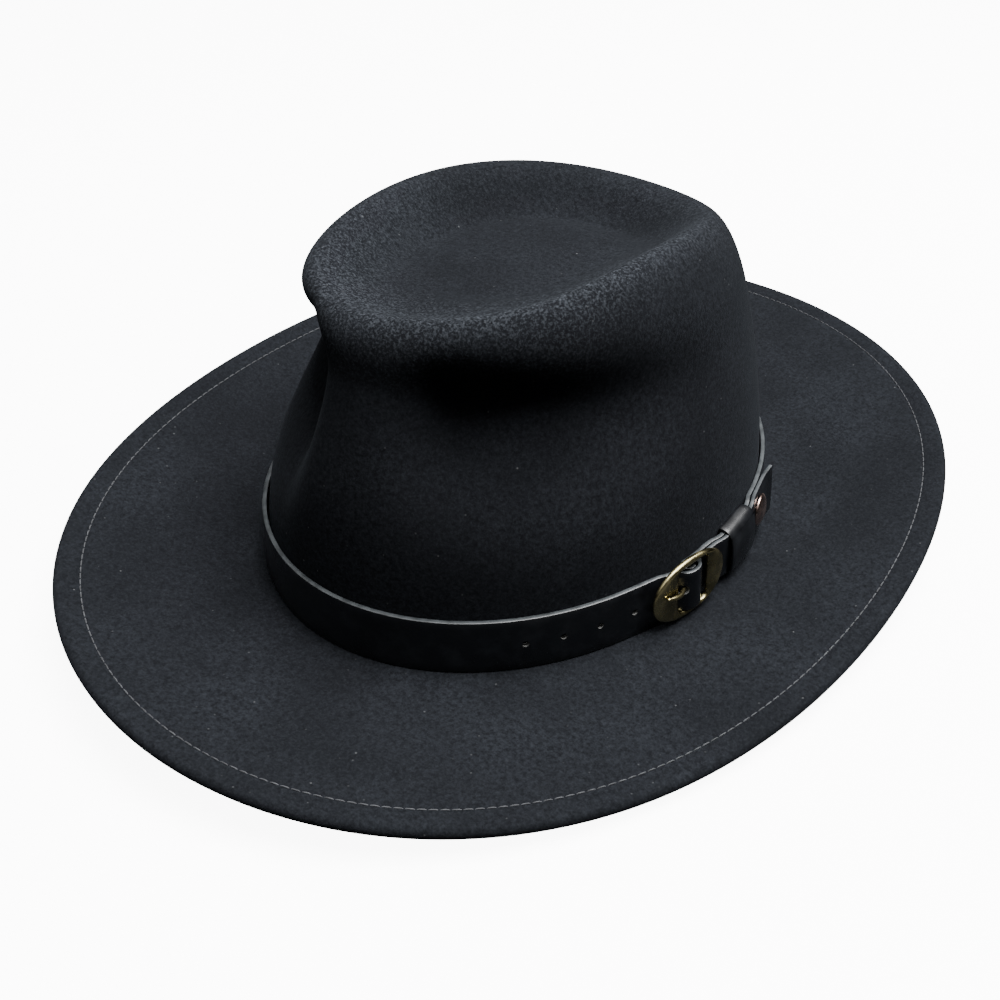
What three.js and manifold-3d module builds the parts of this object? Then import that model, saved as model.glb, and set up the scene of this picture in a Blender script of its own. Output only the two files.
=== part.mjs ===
// A western hat: one blocked piece of felt with a pinched, dished crown and a stitched, upswept
// brim, and a leather band fastened with an oval brass buckle on the wearer's left.
// Millimetres, +Z up. The hat faces -Y and its wearer's left is +X. The origin is under the
// middle of the brim, on the surface that the hat rests on.

import * as THREE from "three";
import { mergeVertices } from "three/addons/utils/BufferGeometryUtils.js";
import Module from "manifold-3d";

const { lerp, smoothstep } = THREE.MathUtils;
const wasm = await Module();
wasm.setup();

// Felt and brim
const FELT = 2.2; // thickness of the felt
const HEAD = { halfLength: 101.6, halfWidth: 83.6 }; // outside of the crown where the brim breaks
const BREAK_RADIUS = 0.6; // outer fillet between crown and brim
const REST_RING = 8; // the hat rests on the flat ring between the break and this distance from it
const BRIM_SWEEP = 1.15; // power of the brim's rise from the rest ring to its edge
const BRIM_SHARES = { upper: [1, 0.66, 0.33, 0], under: [0, 0.5] }; // rows between ring and welt

// The brim's edge, folded under: its thickness and width, and its rounded outer corner, which
// passes a middle point that lies in from the edge and below the face.
const WELT = { thickness: 4.4, width: 11, middle: 6.6, round: 2.2, pointIn: 0.6, pointBelow: 0.8 };

// Brim width from the crown, and rise of its edge, at eight stations from the front over the left.
const BRIM_STATIONS = [
  { place: "front", width: 70.6, rise: 17.3 },
  { place: "front left", width: 65.1, rise: 7.0 },
  { place: "left", width: 59.6, rise: 8.9 },
  { place: "back left", width: 71.1, rise: 17.3 },
  { place: "back", width: 82.6, rise: 15.7 },
  { place: "back right", width: 71.1, rise: 18.4 },
  { place: "right", width: 59.6, rise: 18.0 },
  { place: "front right", width: 65.1, rise: 17.2 },
];

// Crown. The ridge round its top, at eight stations: across to the left, ahead, and height. The
// moat is the share of the dish's moat that is there; below 0 a low bank stands in its place.
const RIDGE_STATIONS = [
  { place: "front", across: -6, ahead: 70.5, height: 107, moat: -0.7 },
  { place: "front left", across: 40.5, ahead: 48, height: 114, moat: -1.1 },
  { place: "left", across: 51, ahead: -3, height: 119, moat: -1 },
  { place: "back left", across: 37, ahead: -50, height: 112, moat: -0.1 },
  { place: "back", across: 0, ahead: -68, height: 106, moat: 0.9 },
  { place: "back right", across: -37, ahead: -50, height: 109, moat: 1 },
  { place: "right", across: -52.5, ahead: -3, height: 113, moat: 1 },
  { place: "front right", across: -39.5, ahead: 49, height: 111, moat: 0.2 },
];
const RIDGE_MIDDLE = { ahead: -4 };
const WALL_LEAN = 0.25; // share of the crown's taper that is straight, the rest is rounded
const WALL_TURNS = [0.4, 6, 12, 18, 24, 30, 36, 42, 48, 54, 60, 66, 72, 78, 84, 90]; // degrees

// The dish inside the ridge: share of the ridge's outline, drop below the ridge, and what the
// moat adds to the drop where it is deepest.
const DISH_ROWS = [
  { place: "rim", share: 0.96, drop: 0.6, moat: 0 },
  { place: "rim foot", share: 0.9, drop: 2.7, moat: 0 },
  { place: "slope", share: 0.82, drop: 6.2, moat: 0.8 },
  { place: "slope foot", share: 0.74, drop: 9.2, moat: 2.4 },
  { place: "moat", share: 0.66, drop: 10.8, moat: 3.6 },
  { place: "island edge", share: 0.58, drop: 11.0, moat: 2.4 },
  { place: "island", share: 0.5, drop: 10.5, moat: 0.4 },
  { place: "island top", share: 0.3, drop: 9.9, moat: 0 },
];
const DISH_MIDDLE_DROP = 9.6;
const DISH_LEVEL_SHARE = 0.3; // the dish is level inside this share of the ridge's outline

// Dents pressed into the crown. Degrees round the head, millimetres otherwise. A dent fades over
// the length ahead of its deepest place and the length behind it, and over the heights above and
// below, and its middle falls towards the back.
const DENTS = [
  {
    name: "left pinch", at: 36, height: 83, depth: 15,
    ahead: 15, behind: 58, above: 16, below: 24, fall: 0.05,
  },
  {
    name: "right pinch", at: -17, height: 84, depth: 25,
    ahead: 11, behind: 50, above: 13, below: 30, fall: 0.05,
  },
  {
    name: "front waist", at: 0, height: 88, depth: 5,
    ahead: 40, behind: 40, above: 12, below: 30, fall: 0,
  },
];
const DENT_ROUND = 66.9; // radius on which a dent's length round the crown is measured
const DENT_FADE = 3; // power of a dent's fading inside the ridge, over the share of its outline

// Leather band
const GAP = 0.3; // air kept between pieces
const LEATHER = 1.8;
const BAND = { bottom: FELT + 0.5, top: FELT + 20.4 };
const NARROW_BAND = { bottom: FELT + 4.1, top: FELT + 20.1, from: -12, fullFrom: -9.5, fullTo: 41, to: 44 };
const BAR_AT = 85; // degrees round the head to the buckle's centre bar
const MM_PER_DEGREE = 1.81; // along the band near the buckle
const BAR_RADIUS = 1.1;
const BAND_OUT = 1.35; // middle of the band's leather from the crown
const BAR_OUT = BAND_OUT + LEATHER / 2 + GAP + BAR_RADIUS;
const LOOP_RADIUS = BAR_RADIUS + GAP + LEATHER / 2;

// The middle of the leather, unrolled: distance along from the bar towards the back, and distance
// out from the band's usual place. The fold goes round the bar and the pass over it.
const FOLD_ARC = [90, 120, 150, 180, 210, 240, 270]; // degrees round the bar
const FOLD_TAIL = { along: 1.5, in: 0.1 }; // cut end of the fold
const AFTER_FOLD = [
  { along: 7, out: 0 },
  { along: 15, out: 0.1 },
  { along: 20, out: 1.45 },
  { along: 30.5, out: 1.5 },
  { along: 41, out: 1.45 },
  { along: 46, out: 0.1 },
];
const PASS = [
  { along: -22, out: 0 },
  { along: -14, out: 0.5 },
  { along: -9, out: 1.6 },
  { along: -6.6, out: 2.2 },
  { along: -5.2, out: 3.5 },
  { along: -3, out: 6.2 },
  { along: 0, out: 7.2 },
  { along: 3, out: 6.6 },
  { along: 4.1, out: 4.6 },
  { along: 5.4, out: 3.0 },
  { along: 8.5, out: 2.4 },
  { along: 15, out: 2.4 },
  { along: 20, out: 3.55 },
  { along: 30.5, out: 3.6 },
  { along: 41, out: 3.55 },
  { along: 47, out: 2.3 },
  { along: 56, out: 2.2 },
  { along: 62, out: 2.7 },
  { along: 68, out: 4.2 },
];
const HOLES = { first: -22.6, spacing: 13.5, count: 4, radius: 1.1, from: -1, to: 5 };
const PRONG_HOLE = { along: -3.6, radius: 2.2, from: 5, to: 12 };
const PRONG_SLOT = { radius: 3.65, height: 3 };

// Buckle, measured in its own plane from the middle of the bar
const BUCKLE_MIDDLE = (NARROW_BAND.bottom + NARROW_BAND.top) / 2 - 0.45;
const FRAME_OUT = 5.9; // the frame's plane from the crown
const FRAME_OUTER = { halfLength: 16.8, halfHeight: 11.4, power: 2.2 };
const FRAME_INNER = { halfLength: 9.4, halfHeight: 8.9, power: 3.4 };
const FRAME_SECTION = [
  { place: "back, inner edge", share: 0, out: -0.8 },
  { place: "inner side", share: 0, out: 0.3 },
  { place: "inner shoulder", share: 0.15, out: 0.75 },
  { place: "top of the dome", share: 0.5, out: 1.1 },
  { place: "outer shoulder", share: 0.85, out: 0.75 },
  { place: "outer side", share: 1, out: 0.2 },
  { place: "back, outer edge", share: 1, out: -0.8 },
];
const LUG = { from: 9.1, to: 10.5, halfLength: 1.2 }; // the posts that hold the bar

// The prong's eye round the bar, and the middle of its shank to the tip.
const PRONG_EYE = { radius: 2.25, tube: 0.75 };
const PRONG_SHANK = [
  { along: -1.9, out: 4.9, radius: 0.85 },
  { along: -3.3, out: 7.0, radius: 0.85 },
  { along: -4.3, out: 8.7, radius: 0.9 },
  { along: -6.5, out: 9.4, radius: 0.95 },
  { along: -9.5, out: 8.9, radius: 0.9 },
  { along: -14.5, out: 7.9, radius: 0.6 },
];

// Keeper loop round both layers of the band
const KEEPER = { from: 21.5, to: 39, leather: 1.2, inner: 1.6, outer: 6.2, bulge: 1.3 };
const KEEPER_CORNERS = { outside: 1.2, inside: 0.25 };
const KEEPER_OVERRUN = 1; // the opening's cutter passes both ends by this much

// Rivet through both layers of the band, turned from a profile
const RIVET_AT = 52;
const RIVET_HOLE = { radius: 1.5, from: -1, to: 9 };
const RIVET_PROFILE = [
  { place: "foot middle", radius: 0, out: 0.7 },
  { place: "foot", radius: 1.2, out: 0.7 },
  { place: "shank top", radius: 1.2, out: 5 },
  { place: "cap back", radius: 6, out: 5 },
  { place: "cap side", radius: 6, out: 5.5 },
  { place: "cap shoulder", radius: 5.1, out: 6.5 },
  { place: "cap face", radius: 3, out: 7 },
  { place: "cap middle", radius: 0, out: 7 },
];

// Facets
const AROUND = 60; // round the felt and the band
const FOLD_PIECES = 40;
const PASS_PIECES = 48;
const HOLE_SIDES = 12;
const SLOT_SIDES = 20;
const FRAME_STEPS = 40;
const BAR_SIDES = 14;
const EYE_STEPS = 16;
const PRONG_STEPS = 12;
const PRONG_SIDES = 8;
const KEEPER_STEPS = 5;
const RIVET_SIDES = 18;
const SAME = 1e-4; // points closer than this are one point

const TURN = 2 * Math.PI;
const FULL_TURN = 360 * MM_PER_DEGREE;
const MEAN_HEIGHT = RIDGE_STATIONS.reduce((sum, row) => sum + row.height, 0) / RIDGE_STATIONS.length;

// Distance of the crown's middle ahead of the origin, which centres the brim on the origin.
const CROWN_AHEAD = (BRIM_STATIONS[4].width - BRIM_STATIONS[0].width) / 2;

const degrees = (value) => (value * Math.PI) / 180;

// One column of a table of evenly spaced stations, smoothly interpolated round the head.
function aroundStations(stations, column, t) {
  const count = stations.length;
  return stations.reduce((sum, station, k) => {
    const half = (t - (k * TURN) / count) / 2;
    const flat = Math.abs(Math.sin(half)) < SAME * SAME;
    const weight = flat ? 1 : (Math.sin(count * half) * Math.cos(half)) / (count * Math.sin(half));
    return sum + weight * station[column];
  }, 0);
}

// The crown's outline at the brim at angle t from the front, and the outward direction there.
function headOval(t) {
  const { halfLength, halfWidth } = HEAD;
  const point = new THREE.Vector3(halfWidth * Math.sin(t), -CROWN_AHEAD - halfLength * Math.cos(t), 0);
  const outward = new THREE.Vector3(Math.sin(t) / halfWidth, -Math.cos(t) / halfLength, 0);
  return { point, outward: outward.normalize() };
}

const brimWidth = (t) => aroundStations(BRIM_STATIONS, "width", t);

// The brim's top face at a distance out from the crown.
function brimTop(t, distance) {
  const { point, outward } = headOval(t);
  const share = Math.max(0, (distance - REST_RING) / (brimWidth(t) - REST_RING));
  point.addScaledVector(outward, distance);
  return point.setZ(FELT + aroundStations(BRIM_STATIONS, "rise", t) * share ** BRIM_SWEEP);
}

// The ridge's outline scaled about its middle.
function ridge(t, share) {
  const across = aroundStations(RIDGE_STATIONS, "across", t) * share;
  const ahead = lerp(RIDGE_MIDDLE.ahead, aroundStations(RIDGE_STATIONS, "ahead", t), share);
  return new THREE.Vector3(across, -CROWN_AHEAD - ahead, aroundStations(RIDGE_STATIONS, "height", t));
}

// Presses the dents into a point of the crown. Inside the ridge they fade towards the middle.
function dented(point, t, share) {
  const moved = point.clone();
  for (const dent of DENTS) {
    const turn = degrees(dent.at);
    const away = Math.atan2(Math.sin(t - turn), Math.cos(t - turn)) * DENT_ROUND;
    const behind = dent.at < 0 ? -away : away;
    const along = behind / (behind > 0 ? dent.behind : dent.ahead);
    const over = point.z - dent.height + dent.fall * behind;
    const up = over / (over > 0 ? dent.above : dent.below);
    const push = dent.depth * Math.exp(-along * along - up * up) * share ** DENT_FADE;
    moved.addScaledVector(headOval(t).outward, -push);
  }
  return moved;
}

// The crown's wall without its dents, at a height.
function wallAt(t, z) {
  const top = ridge(t, 1);
  const rise = Math.min(1, Math.max(0, (z - FELT) / (top.z - FELT)));
  const draw = WALL_LEAN * rise + (1 - WALL_LEAN) * (1 - Math.sqrt(1 - rise * rise));
  return headOval(t).point.lerp(top, draw).setZ(z);
}

function wallRow(turn) {
  return (t) => {
    const z = FELT + (ridge(t, 1).z - FELT) * Math.sin(degrees(turn));
    return dented(wallAt(t, z), t, 1);
  };
}

function dishRow({ share, drop, moat }) {
  return (t) => {
    const point = ridge(t, share);
    const level = lerp(MEAN_HEIGHT, point.z, smoothstep(share, DISH_LEVEL_SHARE, 1));
    const depth = drop + moat * aroundStations(RIDGE_STATIONS, "moat", t);
    return dented(point.setZ(level - depth), t, share);
  };
}

// A row of the brim at a distance in from its edge, and below its top face.
function edgeRow(inset, below) {
  return (t) => {
    const face = brimTop(t, brimWidth(t) - Math.max(inset, WELT.round));
    return brimTop(t, brimWidth(t) - inset).setZ(face.z - below);
  };
}

// A row of the brim at a share of the width between the rest ring and the welt.
function shareRow(share, below) {
  return (t) => {
    const point = brimTop(t, lerp(REST_RING, brimWidth(t) - WELT.width, share));
    return point.setZ(point.z - below);
  };
}

// A row of the fillet between crown and brim, at a distance out from the crown and a height.
function breakRow(out, z) {
  return (t) => {
    const { point, outward } = headOval(t);
    return point.addScaledVector(outward, out).setZ(z);
  };
}

const ring = (row) => Array.from({ length: AROUND }, (_, i) => row((i * TURN) / AROUND));

// Rings of the felt's outer face from the brim's edge up to the foot of the crown.
function upperRings() {
  const half = BREAK_RADIUS * (1 - Math.SQRT1_2);
  const rows = [
    edgeRow(0, WELT.round),
    edgeRow(WELT.pointIn, WELT.pointBelow),
    edgeRow(WELT.round, 0),
    edgeRow(WELT.middle, 0),
    ...BRIM_SHARES.upper.map((share) => shareRow(share, 0)),
    breakRow(BREAK_RADIUS, FELT),
    breakRow(half, FELT + half),
  ];
  return rows.map(ring);
}

// Rings of the underside from the inside of the crown out to the brim's edge.
function underRings() {
  const half = BREAK_RADIUS - (BREAK_RADIUS + FELT) * Math.SQRT1_2;
  const rows = [
    breakRow(half, FELT + half),
    breakRow(BREAK_RADIUS, 0),
    ...BRIM_SHARES.under.map((share) => shareRow(share, FELT)),
    edgeRow(WELT.width, FELT),
    edgeRow(WELT.width - WELT.pointIn, WELT.thickness),
    edgeRow(WELT.round, WELT.thickness),
    edgeRow(WELT.pointIn, WELT.thickness - WELT.pointBelow),
  ];
  return rows.map(ring);
}

// The rings after the first, moved inward by the felt's thickness along the surface's normals.
function insideOf(rings, pole) {
  return rings.slice(1).map((loop, index) => loop.map((point, i) => {
    const ahead = loop[(i + 1) % AROUND];
    const behind = loop[(i + AROUND - 1) % AROUND];
    const above = index + 2 < rings.length ? rings[index + 2][i] : pole;
    const round = ahead.clone().sub(behind);
    const up = above.clone().sub(rings[index][i]);
    return point.clone().addScaledVector(round.cross(up).normalize(), -FELT);
  }));
}

function geometryOf(triangles) {
  const geometry = new THREE.BufferGeometry();
  const positions = triangles.flatMap((corners) => corners.flatMap((p) => [p.x, p.y, p.z]));
  geometry.setAttribute("position", new THREE.Float32BufferAttribute(positions, 3));
  return mergeVertices(geometry, SAME);
}

// Triangles between successive rings of equal length.
function between(rings) {
  const count = rings[0].length;
  return rings.slice(1).flatMap((upper, j) => {
    const lower = rings[j];
    return lower.flatMap((point, i) => {
      const k = (i + 1) % count;
      return [[point, lower[k], upper[k]], [point, upper[k], upper[i]]];
    });
  });
}

// Triangles from a ring to a point.
function fan(loop, point) {
  return loop.map((corner, i) => [corner, loop[(i + 1) % loop.length], point]);
}

function feltBody() {
  const middleTop = ridge(0, 0).setZ(MEAN_HEIGHT - DISH_MIDDLE_DROP);
  const middleUnder = middleTop.clone().setZ(middleTop.z - FELT);
  const upper = upperRings();
  const crown = [...WALL_TURNS.map(wallRow), ...DISH_ROWS.map(dishRow)].map(ring);
  const inside = insideOf([upper[upper.length - 1], ...crown], middleTop).reverse();
  const rings = [...inside, ...underRings(), ...upper, ...crown];
  const start = fan(rings[0].toReversed(), middleUnder);
  return geometryOf([...start, ...between(rings), ...fan(rings[rings.length - 1], middleTop)]);
}

// A point of the band given by its place in the unrolled plan and its height.
function bandPoint(along, out, z) {
  const t = degrees(BAR_AT + along / MM_PER_DEGREE);
  return wallAt(t, z).addScaledVector(headOval(t).outward, out);
}

// The band's lower and upper edge at a place along it.
function bandEdges(along) {
  const { bottom, top, from, fullFrom, fullTo, to } = NARROW_BAND;
  const narrow = smoothstep(along, from, fullFrom) - smoothstep(along, fullTo, to);
  return { bottom: lerp(BAND.bottom, bottom, narrow), top: lerp(BAND.top, top, narrow) };
}

// Evenly spaced points on the leather's middle line through places of the unrolled plan.
function spaced(places, pieces) {
  const points = places.map(({ along, out }) => new THREE.Vector3(along, BAND_OUT + out, 0));
  return new THREE.CatmullRomCurve3(points, false, "centripetal").getSpacedPoints(pieces);
}

// The leather's middle line in the unrolled plan.
function bandLine() {
  const arc = FOLD_ARC.map((turn) => ({
    along: LOOP_RADIUS * Math.cos(degrees(turn)),
    out: BAR_OUT - BAND_OUT + LOOP_RADIUS * Math.sin(degrees(turn)),
  }));
  const tail = { along: FOLD_TAIL.along, out: arc[0].out - FOLD_TAIL.in };
  const fold = spaced([tail, ...arc, ...AFTER_FOLD], FOLD_PIECES);
  const pass = spaced(PASS, PASS_PIECES).map((p) => p.setX(p.x + FULL_TURN));
  const from = fold[fold.length - 1];
  const steps = Math.round((pass[0].x - from.x) / (FULL_TURN / AROUND));
  const round = Array.from({ length: steps - 1 }, (_, i) => from.clone().lerp(pass[0], (i + 1) / steps));
  return [...fold, ...round, ...pass];
}

// A closed solid through sections of equal length, with flat ends.
function strip(sections) {
  const rings = sections.toReversed();
  const start = rings[0];
  const end = rings[rings.length - 1];
  const caps = start.slice(2).flatMap((_, i) => [
    [start[0], start[i + 2], start[i + 1]],
    [end[0], end[i + 1], end[i + 2]],
  ]);
  return geometryOf([...between(rings), ...caps]);
}

function bandLeather() {
  const line = bandLine();
  const sections = line.map((p, i) => {
    const before = line[Math.max(0, i - 1)];
    const after = line[Math.min(line.length - 1, i + 1)];
    const side = new THREE.Vector3(before.y - after.y, after.x - before.x, 0).setLength(LEATHER / 2);
    const { bottom, top } = bandEdges(p.x > FULL_TURN / 2 ? p.x - FULL_TURN : p.x);
    const corner = (sign, z) => bandPoint(p.x + sign * side.x, p.y + sign * side.y, z);
    return [corner(-1, bottom), corner(1, bottom), corner(1, top), corner(-1, top)];
  });
  return strip(sections);
}

// A solid body that can be joined and cut.
function solid(geometry) {
  const plain = geometry.clone();
  plain.deleteAttribute("normal");
  plain.deleteAttribute("uv");
  const merged = mergeVertices(plain, SAME);
  const mesh = new wasm.Mesh({
    numProp: 3,
    vertProperties: new Float32Array(merged.attributes.position.array),
    triVerts: new Uint32Array(merged.index.array),
  });
  mesh.merge();
  return new wasm.Manifold(mesh);
}

function geometryFrom(body) {
  const mesh = body.getMesh();
  const geometry = new THREE.BufferGeometry();
  geometry.setAttribute("position", new THREE.Float32BufferAttribute(mesh.vertProperties, 3));
  geometry.setIndex(new THREE.Uint32BufferAttribute(mesh.triVerts, 1));
  return geometry;
}

// Axes at a place of the band: along it, up the crown's wall, and out, from the wall's surface.
function bandAxes(along, z) {
  const step = LEATHER;
  const origin = bandPoint(along, 0, z);
  const alongAxis = bandPoint(along + step, 0, z).sub(bandPoint(along - step, 0, z)).normalize();
  const up = bandPoint(along, 0, z + step).sub(bandPoint(along, 0, z - step)).normalize();
  const out = alongAxis.clone().cross(up).normalize();
  return new THREE.Matrix4().makeBasis(alongAxis, up, out).setPosition(origin);
}

// A cylinder that stands out from the band, between two distances from the crown.
function pin(along, z, { radius, from, to }) {
  const geometry = new THREE.CylinderGeometry(radius, radius, to - from, HOLE_SIDES);
  geometry.rotateX(Math.PI / 2);
  geometry.translate(0, 0, (from + to) / 2);
  return solid(geometry.applyMatrix4(bandAxes(along, z)));
}

function hatBand() {
  const { radius, height } = PRONG_SLOT;
  const middle = (BAND.bottom + BAND.top) / 2;
  const slot = new THREE.CylinderGeometry(radius, radius, height, SLOT_SIDES).translate(0, 0, BAR_OUT);
  let body = solid(bandLeather()).subtract(solid(slot.applyMatrix4(bandAxes(0, BUCKLE_MIDDLE))));
  body = body.subtract(pin(PRONG_HOLE.along, BUCKLE_MIDDLE, PRONG_HOLE));
  for (let i = 0; i < HOLES.count; i++) {
    body = body.subtract(pin(HOLES.first - i * HOLES.spacing, middle, HOLES));
  }
  return geometryFrom(body.subtract(pin(RIVET_AT, middle, RIVET_HOLE)));
}

function superellipse({ halfLength, halfHeight, power }, turn) {
  const round = (value) => Math.sign(value) * Math.abs(value) ** (2 / power);
  return new THREE.Vector2(halfLength * round(Math.cos(turn)), halfHeight * round(Math.sin(turn)));
}

// The oval frame with its centre bar, which stands on two posts.
function buckleFrame() {
  const rings = Array.from({ length: FRAME_STEPS + 1 }, (_, i) => {
    const turn = ((i % FRAME_STEPS) * TURN) / FRAME_STEPS;
    const inner = superellipse(FRAME_INNER, turn);
    const outer = superellipse(FRAME_OUTER, turn);
    return FRAME_SECTION.map(({ share, out }) => {
      const place = inner.clone().lerp(outer, share);
      return new THREE.Vector3(place.x, place.y, FRAME_OUT + out);
    });
  });
  const bar = new THREE.CylinderGeometry(BAR_RADIUS, BAR_RADIUS, 2 * LUG.to, BAR_SIDES);
  let body = solid(geometryOf(between(rings))).add(solid(bar.translate(0, 0, BAR_OUT)));
  for (const side of [-1, 1]) {
    const depth = FRAME_OUT - BAR_OUT + BAR_RADIUS;
    const lug = new THREE.BoxGeometry(2 * LUG.halfLength, LUG.to - LUG.from, depth);
    lug.translate(0, (side * (LUG.from + LUG.to)) / 2, FRAME_OUT - depth / 2);
    body = body.add(solid(lug));
  }
  return geometryFrom(body).applyMatrix4(bandAxes(0, BUCKLE_MIDDLE));
}

function buckleProng() {
  const eye = new THREE.TorusGeometry(PRONG_EYE.radius, PRONG_EYE.tube, PRONG_SIDES, EYE_STEPS);
  eye.rotateX(Math.PI / 2);
  const places = PRONG_SHANK.map((p) => new THREE.Vector3(p.along, 0, p.out));
  const curve = new THREE.CatmullRomCurve3(places, false, "centripetal");
  const across = new THREE.Vector3(0, 1, 0);
  const sections = Array.from({ length: PRONG_STEPS + 1 }, (_, i) => {
    const share = i / PRONG_STEPS;
    const centre = curve.getPoint(share);
    const normal = across.clone().cross(curve.getTangent(share)).normalize();
    const place = share * (PRONG_SHANK.length - 1);
    const row = Math.min(PRONG_SHANK.length - 2, Math.floor(place));
    const radius = lerp(PRONG_SHANK[row].radius, PRONG_SHANK[row + 1].radius, place - row);
    return Array.from({ length: PRONG_SIDES }, (_, j) => {
      const turn = (j * TURN) / PRONG_SIDES;
      return centre.clone()
        .addScaledVector(across, radius * Math.cos(turn))
        .addScaledVector(normal, radius * Math.sin(turn));
    });
  });
  const body = solid(eye.translate(0, 0, BAR_OUT)).add(solid(strip(sections)));
  return geometryFrom(body).applyMatrix4(bandAxes(0, BUCKLE_MIDDLE));
}

// The keeper's outline at a place along the band, grown by an amount: cut corners, and an outer
// side that bulges.
function keeperSection(along, grow, corner) {
  const from = KEEPER.inner - grow;
  const to = KEEPER.outer + grow;
  const bottom = NARROW_BAND.bottom - GAP - grow;
  const top = NARROW_BAND.top + GAP + grow;
  const bulged = [-0.5, 0, 0.5].map((share) => [
    to + KEEPER.bulge * (1 - share * share),
    (bottom + top) / 2 + (share * (top - bottom)) / 2,
  ]);
  const places = [
    [from, bottom + corner], [from + corner, bottom], [to - corner, bottom], [to, bottom + corner],
    ...bulged,
    [to, top - corner], [to - corner, top], [from + corner, top], [from, top - corner],
  ];
  return places.map(([out, z]) => bandPoint(along, out, z));
}

function bandKeeper() {
  const tube = (grow, overrun, corner) => {
    const sections = Array.from({ length: KEEPER_STEPS + 1 }, (_, i) => {
      const along = lerp(KEEPER.from - overrun, KEEPER.to + overrun, i / KEEPER_STEPS);
      return keeperSection(along, grow, corner);
    });
    return solid(strip(sections));
  };
  const outside = tube(KEEPER.leather, 0, KEEPER_CORNERS.outside);
  return geometryFrom(outside.subtract(tube(0, KEEPER_OVERRUN, KEEPER_CORNERS.inside)));
}

// A domed cap on a shank that stands in the hole through both layers of the band.
function bandRivet() {
  const profile = RIVET_PROFILE.map(({ radius, out }) => new THREE.Vector2(radius, out));
  const turned = new THREE.LatheGeometry(profile, RIVET_SIDES).rotateX(Math.PI / 2);
  return geometryFrom(solid(turned)).applyMatrix4(bandAxes(RIVET_AT, (BAND.bottom + BAND.top) / 2));
}

// Colour, roughness and metalness of each piece
const PIECES = [
  { name: "felt_body", geometry: feltBody(), look: { color: 0x17191c, roughness: 0.95, metalness: 0 } },
  { name: "hat_band", geometry: hatBand(), look: { color: 0x0e1013, roughness: 0.4, metalness: 0 } },
  { name: "band_keeper", geometry: bandKeeper(), look: { color: 0x0e1013, roughness: 0.4, metalness: 0 } },
  { name: "buckle_frame", geometry: buckleFrame(), look: { color: 0x8f7a45, roughness: 0.3, metalness: 1 } },
  { name: "buckle_prong", geometry: buckleProng(), look: { color: 0xb8ab86, roughness: 0.3, metalness: 1 } },
  { name: "band_rivet", geometry: bandRivet(), look: { color: 0x9a6a4c, roughness: 0.4, metalness: 1 } },
];

const group = new THREE.Group();
group.name = "western_hat";
for (const { name, geometry, look } of PIECES) {
  geometry.computeVertexNormals();
  const mesh = new THREE.Mesh(geometry, new THREE.MeshStandardMaterial(look));
  mesh.name = name;
  group.add(mesh);
}

export default group;
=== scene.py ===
"""A western hat: napped black felt with a pinched, dished crown and a stitched, upswept brim, and a
glossy leather strap round it with an oval brass buckle, a keeper and a copper stud.

Sizes are in millimetres until a mesh is made. The hat faces -Y, its wearer's left is +X, and it
rests on z = 0. Angles round the head run from the front over the wearer's left.
"""

import logging
import math
from dataclasses import dataclass
from enum import Enum
from typing import Iterable, Sequence

import bpy
import numpy as np
from mathutils import Matrix, Vector


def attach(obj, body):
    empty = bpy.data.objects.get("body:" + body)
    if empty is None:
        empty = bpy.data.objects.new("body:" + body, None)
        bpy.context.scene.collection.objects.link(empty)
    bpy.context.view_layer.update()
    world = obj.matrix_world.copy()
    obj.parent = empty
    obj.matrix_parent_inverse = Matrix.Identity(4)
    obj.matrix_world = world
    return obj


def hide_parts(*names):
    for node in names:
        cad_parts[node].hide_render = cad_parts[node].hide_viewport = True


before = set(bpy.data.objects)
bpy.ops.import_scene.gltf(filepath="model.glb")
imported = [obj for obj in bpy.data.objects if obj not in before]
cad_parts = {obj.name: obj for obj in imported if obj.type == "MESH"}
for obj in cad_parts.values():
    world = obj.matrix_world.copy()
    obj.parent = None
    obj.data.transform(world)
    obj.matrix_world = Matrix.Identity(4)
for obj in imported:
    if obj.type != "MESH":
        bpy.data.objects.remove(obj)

log = logging.getLogger("hat")

Colour = tuple[float, float, float]

MM = 0.001
TURN = 2 * math.pi
FRAME_PX = 1000  # side of the square picture that the camera's lens is stated in
BODY = "root"
WELD = 1e-6  # metres under which two points are one
TINY = 1e-9  # keeps a division away from nothing
CURVE_STEPS = 32  # straight pieces of a curve between two of its points


# Helpers for tables and curves


def smooth_step(value: np.ndarray | float, start: float, end: float) -> np.ndarray | float:
    """Rises smoothly from 0 at start to 1 at end.

    Args:
        value: Where the step is read.
        start: Where the rise begins.
        end: Where the rise is complete.

    Returns:
        The step's height, from 0 to 1.
    """
    share = np.clip((np.asarray(value, float) - start) / (end - start), 0, 1)
    return share * share * (3 - 2 * share)


def round_value(stations: Sequence[float], turn: np.ndarray) -> np.ndarray:
    """Interpolates evenly spaced stations smoothly round the head.

    Args:
        stations: Values at equal steps round the head, the first at the front.
        turn: Angles from the front, in radians.

    Returns:
        One value for each angle.
    """
    count = len(stations)
    half = (np.asarray(turn)[:, None] - np.arange(count) * TURN / count) / 2
    sine = np.sin(half)
    flat = np.abs(sine) < TINY
    weight = np.sin(count * half) * np.cos(half) / (count * np.where(flat, 1, sine))
    return np.where(flat, 1, weight) @ np.asarray(stations, float)


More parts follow.
